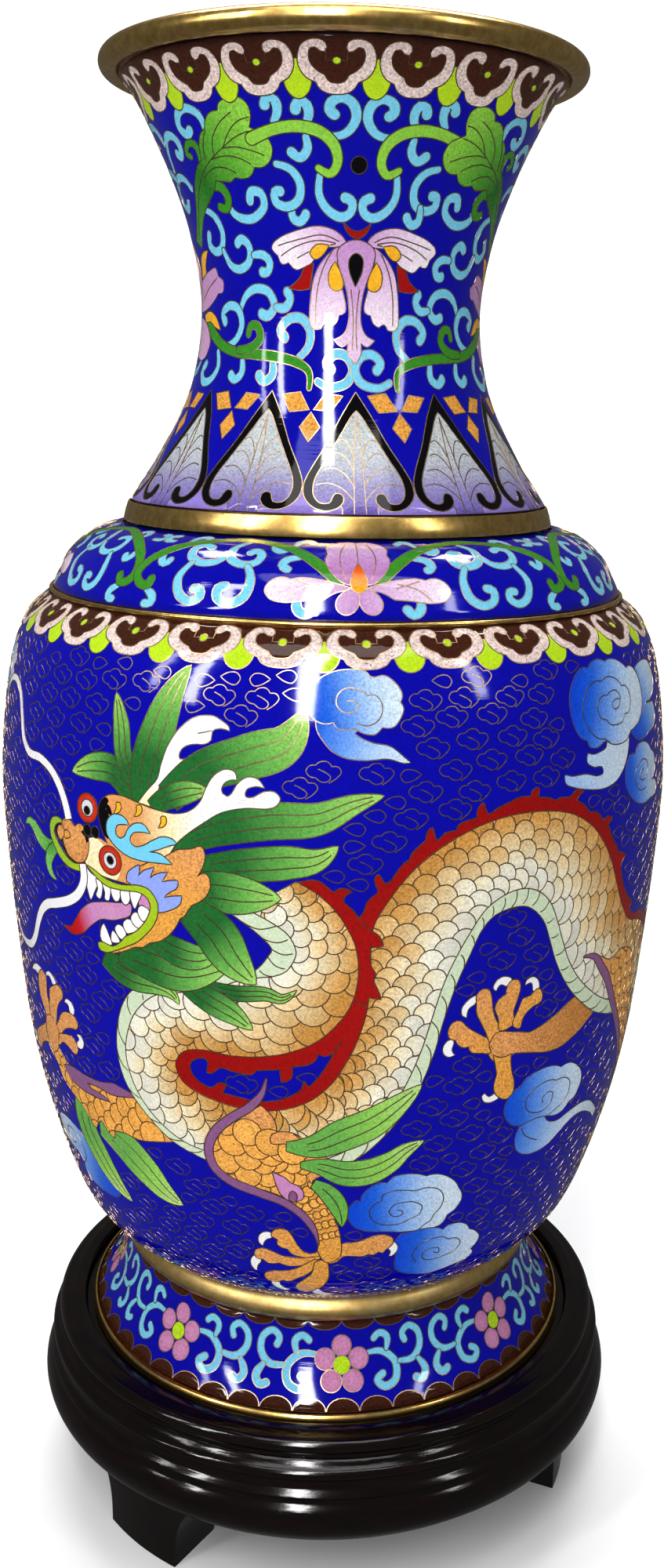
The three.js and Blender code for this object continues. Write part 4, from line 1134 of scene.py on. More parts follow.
# One quarter of the neck's scrolls: each is the middle line of a turquoise hook.
NECK_SCROLLS = [
    [(11.5, 100.6), (8, 101.5), (5.7, 105), (6.5, 108.5), (9, 110), (11.5, 109), (12, 107),
     (10.9, 105.9)],
    [(18, 103.5), (17, 106.5), (18, 109), (19.7, 108.7), (20.2, 107.1)],
    [(26, 104.5), (24.7, 107), (25, 109.5), (26.7, 110.3), (27.7, 108.5)],
    [(18.2, 100.5), (18, 97.5), (20, 95.4), (22.3, 96.8)],
    [(15, 91), (15.3, 86), (13, 82.5), (9, 80.7), (6.2, 82), (5.9, 84.5), (8, 85.6)],
    [(27, 94), (23, 92.5), (20.7, 89), (21.5, 85), (25, 83.3), (28.5, 84.5), (28.5, 87), (26.8, 87.2)],
    [(-15, 84), (-15, 80.5), (-12.8, 79.5), (-11, 81.3)],
    [(-37.4, 86), (-36, 82.6), (-32.4, 80.8), (-28, 80.8), (-24, 83.6), (-24.4, 86.8), (-27.6, 87.4),
     (-28.6, 85.2)],
    [(-49, 84), (-44.6, 81.8), (-42.4, 77.4), (-44.2, 73.8), (-48, 73), (-51, 75), (-50.2, 77.4)],
    [(-43.4, 73), (-40.4, 69), (-36, 68), (-32, 70), (-31.4, 73.6), (-34, 75.6), (-36.2, 74.6)],
    [(-30, 71.4), (-26, 71.2), (-24, 69.2), (-25.2, 67), (-27.2, 67)],
    [(-37.4, 57), (-34.6, 61), (-30, 62.8), (-25, 61.7), (-23, 58.2), (-25.2, 55.8), (-28, 56.3)],
    [(-22.4, 58), (-19, 57.8), (-17.2, 60), (-18.2, 61.8)],
    [(-44.4, 47.6), (-38.6, 49.6), (-36.4, 53.6), (-38.4, 57.6), (-43, 58.6), (-46.8, 56.6),
     (-45.2, 54.4)],
    [(-13.6, 44.6), (-10.4, 48), (-10.2, 52), (-13.2, 55), (-17.6, 54.8), (-20.4, 52), (-18.8, 50)],
    [(-48, 46.4), (-46.6, 42), (-49.8, 38.6), (-55, 38.2), (-57.8, 41), (-55.6, 43)],
    [(-34.6, 44), (-34.2, 40.4), (-36.6, 38.7), (-38.9, 40)],
    [(-22.4, 43.6), (-22.2, 39.8), (-24.8, 38.3), (-26.9, 39.9)],
    [(-7, 38.4), (-3, 36.9), (2, 38.2), (4, 41.8), (2, 45.2), (-1.8, 45.8), (-4.3, 43.6), (-3, 41.7)],
    [(-38.4, 103.6), (-39, 107.6), (-43, 110), (-47, 109), (-48.6, 105.8), (-46.4, 103.5),
     (-44.4, 104.4)],
    [(-63, 96), (-62, 101), (-58.4, 104.4), (-54, 104), (-52, 101), (-53.6, 98.6), (-55.2, 99.5)],
    [(-54, 90), (-57, 93), (-62, 93.6), (-66, 91), (-66, 87), (-62.6, 85.3), (-60.4, 86.6)],
    [(-62.4, 103), (-66, 108), (-71, 109), (-74, 106), (-72, 103.4)],
    [(-64, 93), (-69, 96), (-74.4, 96)],
    [(-62, 44), (-66, 41), (-71, 42), (-74.4, 45)],
]
LEAF_VEINS = [
    [(-42, 96.4), (-40.8, 100.6), (-38.4, 103.8)],
    [(-38, 96.8), (-37, 101), (-33.6, 104.6), (-28.6, 107.4)],
    [(-33.8, 99), (-31, 102.4), (-27.4, 105), (-23.8, 105.8)],
    [(-34.4, 98.8), (-30, 98.8), (-25.6, 97.8), (-21.4, 96.2)],
    [(-39, 96.4), (-33, 96.8), (-29, 95.8), (-26, 94.2)],
    [(-45, 92), (-39, 94.2), (-34.8, 93.8), (-31.4, 92.2)],
    [(-58, 78), (-52, 86.4), (-45, 93.2), (-34, 99), (-28, 101.6), (-22, 102.8)],
]
PETAL_RIGHT = [
    (7.6, 74.4, 1), (9.4, 76.4), (12.6, 77.9), (17, 78.5), (23, 77.4), (28, 76), (31, 74.6, 1), (32, 73),
    (30, 71, 1), (28.8, 68.9), (26.4, 69.2, 1), (24, 67.4), (21.4, 68, 1), (18.6, 69.2), (15.4, 72.6),
    (9.6, 73.4),
]
PETAL_DROOP = [
    (10, 73.6, 1), (14, 71), (17.4, 67), (19, 62), (19.5, 56), (19.2, 53.2), (17.6, 52.2),
    (15.6, 52.4, 1), (14.4, 53.8), (12.6, 53, 1), (10.6, 54), (9.8, 56, 1), (7.7, 56.8), (7.6, 59, 1),
    (8.5, 62), (10.4, 67),
]
PETAL_HOOD = [
    (4.5, 75.2), (8, 74.4), (10.4, 72.4), (10.2, 69), (8.2, 64.4), (6.9, 60), (6.5, 55), (7.8, 51.4),
    (11.2, 49.6, 1), (8.6, 47.8), (6.6, 48.8, 1), (6.6, 46), (4.9, 43.2, 1),
]


def both_ways(draw, middle, shift):
    """Draws a half twice: as it is, and mirrored about middle."""
    draw(lambda points: moved(points, shift))
    draw(lambda points: moved(points, 2 * middle + shift, flip=True))


def neck_quarter(art, put):
    """Stems, leaf and scrolls between two flowers of the neck."""
    tip, foot = put([(-24, 104), (-54, 82)])
    greens = fade([LIME_LEAF, (98, 170, 56), (40, 116, 34), (70, 146, 60)], tip, foot, 0.8)
    for line in NECK_SCROLLS:
        art.ribbon(put(line), [2.0, 2.5, 2.7, 2.6, 2.9], plain(SCROLL, 0.35))
    art.ribbon(
        put([(-9.5, 36.6), (-10, 41), (-14, 43.4), (-22, 45), (-30, 45.6), (-38, 46.2), (-46, 48.2),
             (-52, 51), (-60, 55.5)]),
        [1.5, 2.6, 2.8, 2.8, 2.8, 3.4, 4.2], plain(GRASS, 0.5),
    )
    art.ribbon(put([(-37, 46.8), (-31, 47.4), (-28, 50), (-29.4, 53), (-32.4, 53), (-33, 51)]),
               [2.2, 2.8, 2.8, 2.4, 2.2], plain(GRASS, 0.5))
    art.ribbon(
        put([(15.3, 92.8), (12, 91.5), (10.2, 94), (10.8, 98), (14, 101.4), (19, 103), (25, 102.8),
             (33, 100.5)]),
        [2.0, 2.6, 3.0, 3.2, 3.2, 3.0, 3.4], plain(LIME_LEAF, 0.5),
    )
    art.ribbon(put([(-45.6, 93), (-43.6, 97.6), (-44.6, 100.8), (-47.6, 101.2), (-49.6, 99),
                    (-48, 97.9)]),
               [2.6, 2.4, 2.0, 1.8], plain(GRASS, 0.5))
    art.ribbon(put([(-47, 87), (-43.6, 89.6), (-39, 89.4), (-36.6, 86.4), (-38, 83.8), (-41, 84.2)]),
               [4.0, 3.2, 2.8, 2.6, 2.4], plain(GRASS, 0.5))
    leaf = art.shape(
        put([
            (-20.3, 101.4, 1), (-24.3, 103.4, 1), (-23.2, 106.4), (-23.6, 109.2), (-25.8, 111),
            (-29, 111), (-31.6, 109.8), (-32.4, 108.2, 1), (-35, 108), (-37.4, 106.2), (-38.4, 104.2, 1),
            (-41, 102.8), (-43, 99.6), (-43.5, 96.6, 1), (-46, 95.6), (-51, 91), (-56, 83.4),
            (-62, 76.6, 1), (-58, 74.4, 1), (-52, 81.4), (-46.6, 85.4), (-42.4, 88), (-40, 91, 1),
            (-36.6, 90.4), (-34, 90.2), (-32.2, 91.2, 1), (-29, 90.7), (-26.6, 91.4), (-25, 93.4, 1),
            (-22.4, 93.3), (-20, 94.8), (-18.8, 97.6), (-19.4, 100),
        ]),
        greens,
    )
    for vein in LEAF_VEINS:
        art.vein(put(vein), leaf)


def neck_lotus(art, put):
    """Half of the flower seen between the leaves' stems."""
    pink = fade([ORCHID, (210, 160, 204), PALE_PINK], put([(-48, 64)])[0], put([(-72, 58)])[0], 0.45)
    art.shape(put([(-63, 66.6, 1), (-61.6, 71.4), (-58, 73.4), (-53.2, 73.6, 1), (-55.4, 71.8),
                   (-57.6, 69.4), (-58.6, 66.8)]), plain(YELLOW, 0.5))
    art.shape(put([(-62.4, 56.8, 1), (-57, 57.6), (-51.4, 55.8), (-48, 52.2, 1), (-52, 53), (-56, 54.6),
                   (-61.4, 54.8)]),
              plain(YELLOW, 0.5))
    art.shape(put([(-74.5, 56, 1), (-66, 56), (-58.6, 53.4), (-55, 49), (-57, 45.4), (-61.6, 44, 1),
                   (-66.4, 45), (-70.6, 48, 1), (-74.5, 48.4, 1)]), pink)
    side = art.shape(put([(-74.5, 58, 1), (-66, 57.6), (-58.6, 58.4), (-53, 60.2), (-49.6, 62, 1),
                          (-46.4, 62.4), (-45.8, 65), (-48.6, 66.6, 1), (-50, 68.8), (-53, 68.6, 1),
                          (-57.4, 67.8), (-63, 66.4), (-70, 64)]), pink)
    art.vein(put([(-50, 66), (-56, 64), (-64, 61)]), side)
    top = art.shape(put([(-74.5, 79, 1), (-71, 77), (-66.6, 73), (-64.8, 67.6), (-66.6, 62),
                         (-74.5, 58, 1)]), pink)
    art.vein(put([(-73, 76), (-70, 69), (-70.6, 62)]), top)


def neck_iris(art, shift):
    """The hanging flower in the middle."""
    pale = fade([ORCHID, PALE_PINK, BLUSH], (8 + shift, 79), (24 + shift, 70), 0.4)
    pale_left = fade([ORCHID, PALE_PINK, BLUSH], (1 + shift, 79), (-15 + shift, 70), 0.4)
    droop = fade([ORCHID, PALE_PINK, BLUSH], (12 + shift, 74), (14 + shift, 53), 0.4)
    for flip, soft in ((False, pale), (True, pale_left)):
        dx = 9.0 + shift if flip else shift

        def put(points):
            return moved(points, dx, flip=flip)

        art.shape(put([(18, 69, 1), (21, 68.2), (22.8, 65.4), (26.8, 62.8, 1), (23, 62.2),
                       (19.4, 62.6, 1)]),
                  plain(RED, 0.4))
        lower = art.shape(put(PETAL_DROOP), droop)
        art.vein(put([(12, 72.4), (15.4, 67), (17.2, 61), (17.4, 53.6)]), lower)
        upper = art.shape(put(PETAL_RIGHT), soft)
        for vein in (
            [(10, 74.6), (15, 76.2), (22, 75.2), (29.6, 73.6)],
            [(11, 74.2), (17, 74.8), (24, 73.2), (28.8, 71)],
            [(11, 74), (17, 72.8), (23.4, 70.4)],
        ):
            art.vein(put(vein), upper)
        art.shape(put([(11.2, 69.6, 1), (13.2, 66.6), (13, 63.5), (11, 62.1), (8.6, 63), (8.7, 65.4),
                       (10, 68)]),
                  plain(YELLOW, 0.5))
        art.shape(put([(13, 73.6, 1), (17, 73.8), (19.2, 71.6), (17.6, 70),
                       (15.2, 71)]), plain(YELLOW, 0.5))
    hood = art.shape(
        moved(PETAL_HOOD + moved(PETAL_HOOD[-2:0:-1], 9.0, flip=True), shift),
        fade([ORCHID, (202, 158, 206), PALE_PINK], (4.5 + shift, 75), (4.5 + shift, 50), 0.4),
    )
    for side in (-1, 1):
        vein = [(4.5 + side * 1.4, 62.6), (4.5 + side * 0.5, 55), (4.5 + side * 0.8, 47)]
        art.vein(moved(vein, shift), hood)
    throat = [(4.5, 63.3, 1), (2.4, 67.4), (2.4, 70.4), (4.5, 71.8), (6.6, 70.4), (6.6, 67.4)]
    art.shape(moved(throat, shift), plain(BLACK, 0.2))
    cap = [(0.2, 79.6, 1), (1.6, 76.8), (4.5, 75.4), (7.4, 76.8), (8.8, 79.6, 1), (6.8, 78), (4.5, 77.3),
           (2.2, 78)]
    art.shape(moved(cap, shift), plain(RED, 0.4))
    art.cell(circle((4.2 + shift, 93.7), 2.2, 24), plain(BLACK, 0.2))


LAPPET = [
    (4.8, 35.8, 1), (9.1, 29), (13, 20.6), (16.4, 13.4), (17.7, 9), (17.3, 5), (15, 1.9), (12, 0.9),
    (9.5, 2), (8.4, 4), (8.8, 5.9), (10.2, 6.2), (11, 4.8, 1), (11.6, 3.3), (13.5, 3.2), (15, 5),
    (15.5, 8), (15, 11.2), (12.5, 17), (9, 24), (6.2, 29), (4.8, 30.6, 1),
]


def draw_lappet(art, middle):
    """One pointed black-edged panel with feathered white and lilac enamel."""
    def put(points):
        return moved(points, middle)

    half = moved(LAPPET, -LAPPET_MIDDLE)
    panel = [(0, 33, 1), (4.6, 26), (8.4, 18), (11, 11), (11.4, 6), (8.6, 2), (4.2, 2.4), (3.9, 0, 1)]
    fill = art.shape(
        put(panel + moved(panel[:0:-1], flip=True)),
        fade([(118, 102, 178), (150, 144, 190), (184, 188, 198),
              (194, 200, 202)], (middle, 1), (middle, 22), 0.7),
    )
    for side in (-1, 1):
        art.line(put([(side * 1.3, 0.2), (side * 1.2, 10), (side * 0.9, 20), (0, 29)]), [fill])
        for low, first in ((4, 1.3), (8.5, 1.3), (13, 1.2), (17, 1.1)):
            room = max(2.4, 10.2 - low * 0.36)
            feather = [(side * first, low), (side * (first + room * 0.3), low + 3.6),
                       (side * (first + room * 0.66), low + 5.2), (side * (first + room), low + 4.6)]
            art.vein(put(feather), fill, 0.7)
    art.shape(put(half + moved(half[-2:0:-1], flip=True)), plain(BLACK, 0.2))


def draw_diamonds(art, middle):
    """Three gold lozenges over the gap between two lappets."""
    for shape in (
        [(0, 30), (2.9, 25.6), (0, 21.3), (-2.9, 25.6)],
        [(0.6, 30.6), (3.8, 35.2), (9.2, 34.6), (5.8, 30.3)],
        [(-0.6, 30.6), (-3.8, 35.6), (-9.6, 34.8), (-6.4, 29.9)],
    ):
        art.cell(moved(shape, middle), plain(GOLD, 1.0))


def neck_art():
    """Hanging flowers and leaves over a row of lappets."""
    left = -1.7 - 8.5 * math.tau * NECK_R0 / NECK_HEADS
    art = Drawing(left, left + math.tau * NECK_R0, 0, NECK_TOP, plain(COBALT, 0.5))
    turn = math.pi * NECK_R0
    for shift in (-turn, 0, turn):
        both_ways(lambda put: neck_quarter(art, put), NECK_MIDDLE, shift)
    for shift in (-turn, 0, turn):
        for flip in (False, True):
            across = shift + 2 * LOTUS_MIDDLE if flip else shift
            neck_lotus(art, lambda points: moved(points, across, flip=flip))
        neck_iris(art, shift)
    pitch = math.tau * NECK_R0 / LAPPETS
    art.cell([(left, 0), (art.box[1], 0), (art.box[1], 8.2), (left, 8.2)], plain((150, 132, 206), 0.3))
    for k in range(-7, 8):
        draw_lappet(art, LAPPET_MIDDLE + k * pitch)
        draw_diamonds(art, LAPPET_MIDDLE + (k + 0.5) * pitch)
    ruyi_border(art, NECK_HEADS, NECK_BORDER, 0.75, 1.14)
    return art


SHOULDER_SCROLLS = [
    [(36, 24.5), (38.6, 21), (38.4, 17), (35, 14.9), (31.2, 15.7), (30.2, 18.5), (32, 20.3),
     (33.4, 19.3)],
    [(39.5, 18), (42, 15.2), (46, 14.6), (49.8, 16.7), (50.2, 20), (47.8, 21.6), (45.4, 20.6)],
    [(33, 14.4), (31.2, 10), (32.3, 5.4), (35.6, 3.4), (38.7, 4.8), (38.9, 7.3), (37.2, 8)],
    [(48.5, 14.4), (50.4, 9), (48.8, 4.8), (45.6, 3.3), (43.3, 4.8), (43.6, 6.7), (45.2, 6.7)],
    [(20, 18), (23, 17.3), (24.2, 15.3), (22.8, 13.9)],
    [(59, 17.4), (58.2, 14.3), (56.6, 13.2), (55.6, 14.6)],
    [(59, 5.4), (56.6, 3.7), (56.6, 1.9), (58.4, 1.6)],
    [(22, 24), (20.8, 26.6), (18.6, 27.2), (17.3, 25.8)],
    [(60, 22.4), (62.8, 22.7), (63.4, 25), (61.2, 25.9)],
    [(19.5, 5.4), (19.3, 2.8), (17.6, 1.5), (16.2, 3)],
    [(54, 22.6), (53.4, 25.6), (50.8, 26.6), (49.4, 25.4)],
    [(27, 24.6), (27.4, 22), (25.8, 20.4), (24, 21.2)],
]


def shoulder_half(art, put):
    """Stem and scrolls beside a lotus of the shoulder."""
    for line in SHOULDER_SCROLLS:
        art.ribbon(put(line), [1.7, 2.3, 2.5, 2.3, 2.4], plain(SCROLL, 0.35))
    art.ribbon(
        put([(10, 10), (16, 16.6), (22, 21.4), (30, 25.2), (38, 26.6), (47, 24.6), (56, 19.8), (62, 14.4),
             (63.6, 9.4), (61.6, 6.8), (59, 6.6), (58.4, 8.4)]),
        [2.6, 3.2, 3.0, 2.6, 2.4, 2.8, 3.0, 2.6, 2.4], plain(GRASS, 0.5),
    )


def shoulder_lotus(art, middle):
    """The pink flower in the middle of each quarter."""
    def pair(points, shade, veins=()):
        for flip in (False, True):
            number = art.shape(moved(moved(points, -SHOULDER_MIDDLE), middle, flip=flip), shade)
            for vein in veins:
                art.vein(moved(moved(vein, -SHOULDER_MIDDLE), middle, flip=flip), number, 0.7)

    pink = fade([BLUSH, PALE_PINK, ORCHID, PALE_PINK, BLUSH], (middle - 22, 8), (middle + 22, 8), 0.45)
    pair([(13.4, 5.5, 1), (10.5, 7.4), (7, 8.4), (11, 10), (15, 11), (19.4, 11.4), (21.4, 10.8, 1),
          (24, 11.4), (26.4, 10), (27.4, 7.4), (25.8, 5.2), (22.8, 4.5), (17, 5.2)], pink,
         [[(22.4, 5), (19.4, 8), (14.4, 9.8)], [(20, 10.6), (14, 8.6)]])
    pair([(5.2, 27, 1), (7, 27.4), (10, 26.9), (12.4, 25.1), (13.5, 22.5), (13, 19.5, 1), (13.5, 17),
          (11.4, 12.5), (8.5, 9.8),
          (5.2, 9.6, 1)], fade([PALE_PINK, ORCHID, (176, 118, 178)], (middle, 27), (middle, 10), 0.45),
         [[(8.2, 11), (9.8, 17), (9.4, 21.4), (8.2, 25.6)]])
    art.line([(middle, 26.8), (middle, 17)], [len(art.cells) - 1, len(art.cells) - 2])
    pair([(5.2, 8, 1), (7.6, 8.4), (10.4, 5.6), (10.4, 3), (8.5, 1.5), (6.4, 2.4), (5.2, 4.6, 1)], pink)
    drop = [(0, 16.4, 1), (1.8, 12), (1.8, 8.6), (0, 7.3), (-1.8, 8.6), (-1.8, 12)]
    art.shape(moved(drop, middle), fade([ORANGE, YELLOW], (middle, 15), (middle, 7), 0.5))


def shoulder_art():
    """Four lotus flowers joined by scrolls."""
    period = math.tau * SHOULDER_R0 / SHOULDER_FLOWERS
    left = SHOULDER_SEAM - 3 * period
    art = Drawing(left, left + SHOULDER_FLOWERS * period, 0, SHOULDER_TOP, plain(COBALT, 0.5))
    for k in range(-3, 3):
        both_ways(lambda put: shoulder_half(art, put), SHOULDER_MIDDLE, k * period)
    for k in range(-3, 3):
        shoulder_lotus(art, SHOULDER_MIDDLE + k * period)
    return art


FOOT_SCROLLS = [
    [(13, 15.5), (17.6, 15.4), (21.4, 12), (20.9, 7.4), (17.5, 5.8), (15.4, 7.7), (17.2, 9.3)],
    [(19, 16), (19.5, 19.3), (17.2, 20.7), (15.2, 19.4)],
    [(22.8, 12), (27.4, 12.2), (30.2, 15.6), (29.8, 19.4), (26.8, 21.3), (24.6, 19.6), (25.2, 17.5)],
    [(28.8, 11.6), (30.6, 8.2), (29.2, 6), (27.2, 6.6)],
]


def foot_art():
    """A row of small flowers and scrolls between two scalloped edges."""
    pitch = math.tau * FOOT_R0 / FOOT_FLOWERS
    left = FOOT_MIDDLE - FOOT_FLOWERS / 2 * pitch
    right = left + FOOT_FLOWERS * pitch
    art = Drawing(left, right, 0, FOOT_TOP, plain(COBALT, 0.5))
    for k in range(-5, 6):
        middle = FOOT_MIDDLE + k * pitch
        for line in FOOT_SCROLLS:
            put = moved(line, -FOOT_MIDDLE)
            for flip in (False, True):
                art.ribbon(moved(put, middle, flip=flip), [1.5, 2.2, 2.3, 2.2, 2.2], plain(SCROLL, 0.35))
        for n in range(5):
            angle = math.radians(90 + 72 * n)
            spot = (middle + 5.4 * math.cos(angle), FOOT_FLOWER_UP + 5.4 * math.sin(angle))
            art.cell(circle(spot, 3.1, 20), glow([(212, 152, 190), (194, 130, 172)], spot, 3.1, 0.5))
        art.cell(circle((middle, FOOT_FLOWER_UP), 2.6, 20), plain(LIME, 0.5))
    for count, s, high in ((41, FOOT_TOP, 2.6), (48, 0.0, 3.6)):
        step = (right - left) / count
        for k in range(count + 1):
            art.cell(circle((left + k * step, s), step * 0.49, 20, high / (step * 0.49)), plain(BROWN, 0.9))
    return art


# ---------------------------------------------------------------- from flat drawing to the round vase
MM = 0.001
WIRE_WIDTH = 0.27  # mm, the copper strip bent into every outline
ENAMEL_DROP = 0.06  # mm, how far the enamel was polished down below the wires
ENAMEL_DEEP = 1.0  # mm, down to the copper
GROUND_STEP = 2.6  # mm, between the points inside a field of one colour
BEHIND_GLASS = (0.02, 0.02, 0.1, 0.3)  # the colour of the glass that can't be seen


class Band:
    """The outside of one band of the vase. x is the angle times r0, and s the way up the profile."""

    PARTS = 24

    def __init__(self, profile, r0):
        self.line = spline(profile, self.PARTS)
        self.r0 = r0
        self.s = np.concatenate([[0], np.cumsum(np.hypot(*np.diff(self.line, axis=0).T))])
        run = np.gradient(self.line, self.s, axis=0)
        run /= np.hypot(run[:, 0], run[:, 1])[:, None]
        self.out = np.stack([run[:, 1], -run[:, 0]], -1)

    def place(self, x, s, height):
        """Points of the vase in metres, height mm out from the surface."""
        r, z = [
            np.interp(s, self.s, self.line[:, k]) + height * np.interp(s, self.s, self.out[:, k])
            for k in (0, 1)
        ]
        turn = np.asarray(x) / self.r0
        return np.stack([r * np.sin(turn), -r * np.cos(turn), z], -1) * MM


def new_mesh(name, points, faces, smooth=True):
    """A mesh object from arrays."""
    data = bpy.data.meshes.new(name)
    data.from_pydata([tuple(p) for p in points], [], [tuple(int(i) for i in f) for f in faces])
    data.validate()
    data.polygons.foreach_set("use_smooth", np.full(len(data.polygons), smooth))
    data.update()
    thing = bpy.data.objects.new(name, data)
    scene.collection.objects.link(thing)
    return thing


def arrange(art):
    """Cuts the flat field up along every outline. Gives points, triangles and the cell shown by each."""
    left, right, bottom, top = art.box
    points, edges = [], []
    for outline, _, _, _ in art.cells:
        start, count = len(points), len(outline)
        points.extend(outline.tolist())
        edges.extend((start + i, start + (i + 1) % count) for i in range(count))
    xs = np.linspace(left, right, int((right - left) / GROUND_STEP) + 1)
    ss = np.linspace(bottom, top, int((top - bottom) / GROUND_STEP) + 1)
    for k, s in enumerate(ss):
        offset = (xs[1] - xs[0]) / 2 if k % 2 and 0 < k < len(ss) - 1 else 0
        points.extend((x + offset, s) for x in xs if x + offset < right + 1e-6)
    found, _, triangles, _, _, _ = delaunay_2d_cdt([Vector(p) for p in points], edges, [], 0, 1e-4)
    flat = np.array([tuple(p) for p in found])
    triangles = np.array([tuple(t) for t in triangles])
    middle = flat[triangles].mean(1)
    kept = (middle[:, 0] > left) & (middle[:, 0] < right) & (middle[:, 1] > bottom) & (middle[:, 1] < top)
    triangles, middle = triangles[kept], middle[kept]
    shown = np.zeros(len(middle), int)
    for number, (outline, _, inside, _) in enumerate(art.cells):
        if number == 0:
            continue
        lo, hi = outline.min(0), outline.max(0)
        near = np.flatnonzero(((middle >= lo) & (middle <= hi)).all(1))
        hit = inside_outline(outline, *middle[near].T)
        if inside is not None:
            hit &= inside_outline(art.cells[inside][0], *middle[near].T)
        shown[near[hit]] = number
    return flat, triangles, shown


def paint_corners(art, flat, triangles, shown):
    """A colour for each corner of each triangle, from the paint of the cell it shows."""
    colours = np.ones((len(triangles), 3, 4))
    order = np.argsort(shown, kind="stable")
    cells, starts = np.unique(shown[order], return_index=True)
    ends = np.append(starts[1:], len(order))
    for cell, a, b in zip(cells, starts, ends):
        rows = order[a:b]
        spots = flat[triangles[rows]].reshape(-1, 2)
        colours[rows] = np.asarray(art.cells[cell][1](spots[:, 0], spots[:, 1])).reshape(-1, 3, 4)
    return colours


def wire_runs(art, flat, triangles, shown):
    """Lines of points along every border between two differently wired cells."""
    owner = []
    for k, (_, _, inside, wired) in enumerate(art.cells):
        owner.append(k if wired or inside is None else owner[inside])
    owner = np.array(owner)[shown]
    sides = {}
    for t, (a, b, c) in enumerate(triangles.tolist()):
        for i, j in ((a, b), (b, c), (c, a)):
            sides.setdefault((i, j) if i < j else (j, i), []).append(t)
    links = {}
    for (i, j), near in sides.items():
        if len(near) == 2 and owner[near[0]] != owner[near[1]]:
            links.setdefault(i, []).append(j)
            links.setdefault(j, []).append(i)
    used = set()
    runs = []

    def walk(a, b):
        run = [a, b]
        used.add((min(a, b), max(a, b)))
        while len(links[run[-1]]) == 2:
            here, before = run[-1], run[-2]
            after = links[here][0] if links[here][1] == before else links[here][1]
            if (min(here, after), max(here, after)) in used:
                break
            used.add((min(here, after), max(here, after)))
            run.append(after)
        return run

    for a in sorted(links, key=lambda i: (len(links[i]) == 2, i)):
        for b in links[a]:
            if (min(a, b), max(a, b)) not in used:
                runs.append(flat[walk(a, b)])
    return runs


def shown_parts(art, raster):
    """The stretches of the drawing's open wires that show."""
    parts = []
    for line, on in art.lines:
        seen = np.isin(raster.look(line), on)
        edges = np.flatnonzero(np.diff(np.concatenate([[0], seen.astype(int), [0]])))
        parts.extend(line[a:b] for a, b in zip(edges[::2], edges[1::2]) if b - a > 2)
    return parts


def thin_out(line, least):
    """The line without points that crowd the one before them."""
    kept = [line[0]]
    for p in line[1:-1]:
        if math.dist(p, kept[-1]) >= least and math.dist(p, line[-1]) >= least:
            kept.append(p)
    kept.append(line[-1])
    return np.array(kept)


def wires_mesh(name, band, lines):
    """Flat-topped wires laid along the lines, each a closed strip let into the enamel."""
    points, faces = [], []
    for line in lines:
        line = thin_out(np.asarray(line), 0.28)
        if len(line) < 2:
            continue
        looped = len(line) > 5 and math.dist(line[0], line[-1]) < 1e-6
        if looped:
            line = line[:-1]
            run = np.roll(line, -1, 0) - np.roll(line, 1, 0)
        else:
            run = np.gradient(line, axis=0)
        real = np.interp(line[:, 1], band.s, band.line[:, 0]) / band.r0
        run = run * np.stack([real, np.ones(len(line))], -1)
        run /= np.maximum(np.hypot(run[:, 0], run[:, 1]), 1e-9)[:, None]
        side = np.stack([-run[:, 1] / real, run[:, 0]], -1) * WIRE_WIDTH / 2
        deep = -ENAMEL_DROP - 0.05
        rings = [
            band.place(*(line + side * k).T, height)
            for k, height in ((1, 0.0), (-1, 0.0), (-1.15, deep), (1.15, deep))
        ]
        start = len(points)
        points.extend(np.stack(rings, 1).reshape(-1, 3).tolist())
        count = len(line)
        for i in range(count if looped else count - 1):
            a, b = start + 4 * i, start + 4 * ((i + 1) % count)
            for j in range(4):
                k = (j + 1) % 4
                faces.append((a + j, a + k, b + k, b + j))
        if not looped:
            faces.append((start + 3, start + 2, start + 1, start))
            end = start + 4 * (count - 1)
            faces.append((end, end + 1, end + 2, end + 3))
    return new_mesh(name, points, faces, smooth=False)


def zip_strip(low, low_x, high, high_x):
    """Triangles between two rows of points that run the same way round."""
    faces = []
    i = j = 0
    while i < len(low) - 1 or j < len(high) - 1:
        if j == len(high) - 1 or (i < len(low) - 1 and low_x[i + 1] <= high_x[j + 1]):
            faces.append((low[i], low[i + 1], high[j]))
            i += 1
        else:
            faces.append((low[i], high[j + 1], high[j]))
            j += 1
    return faces


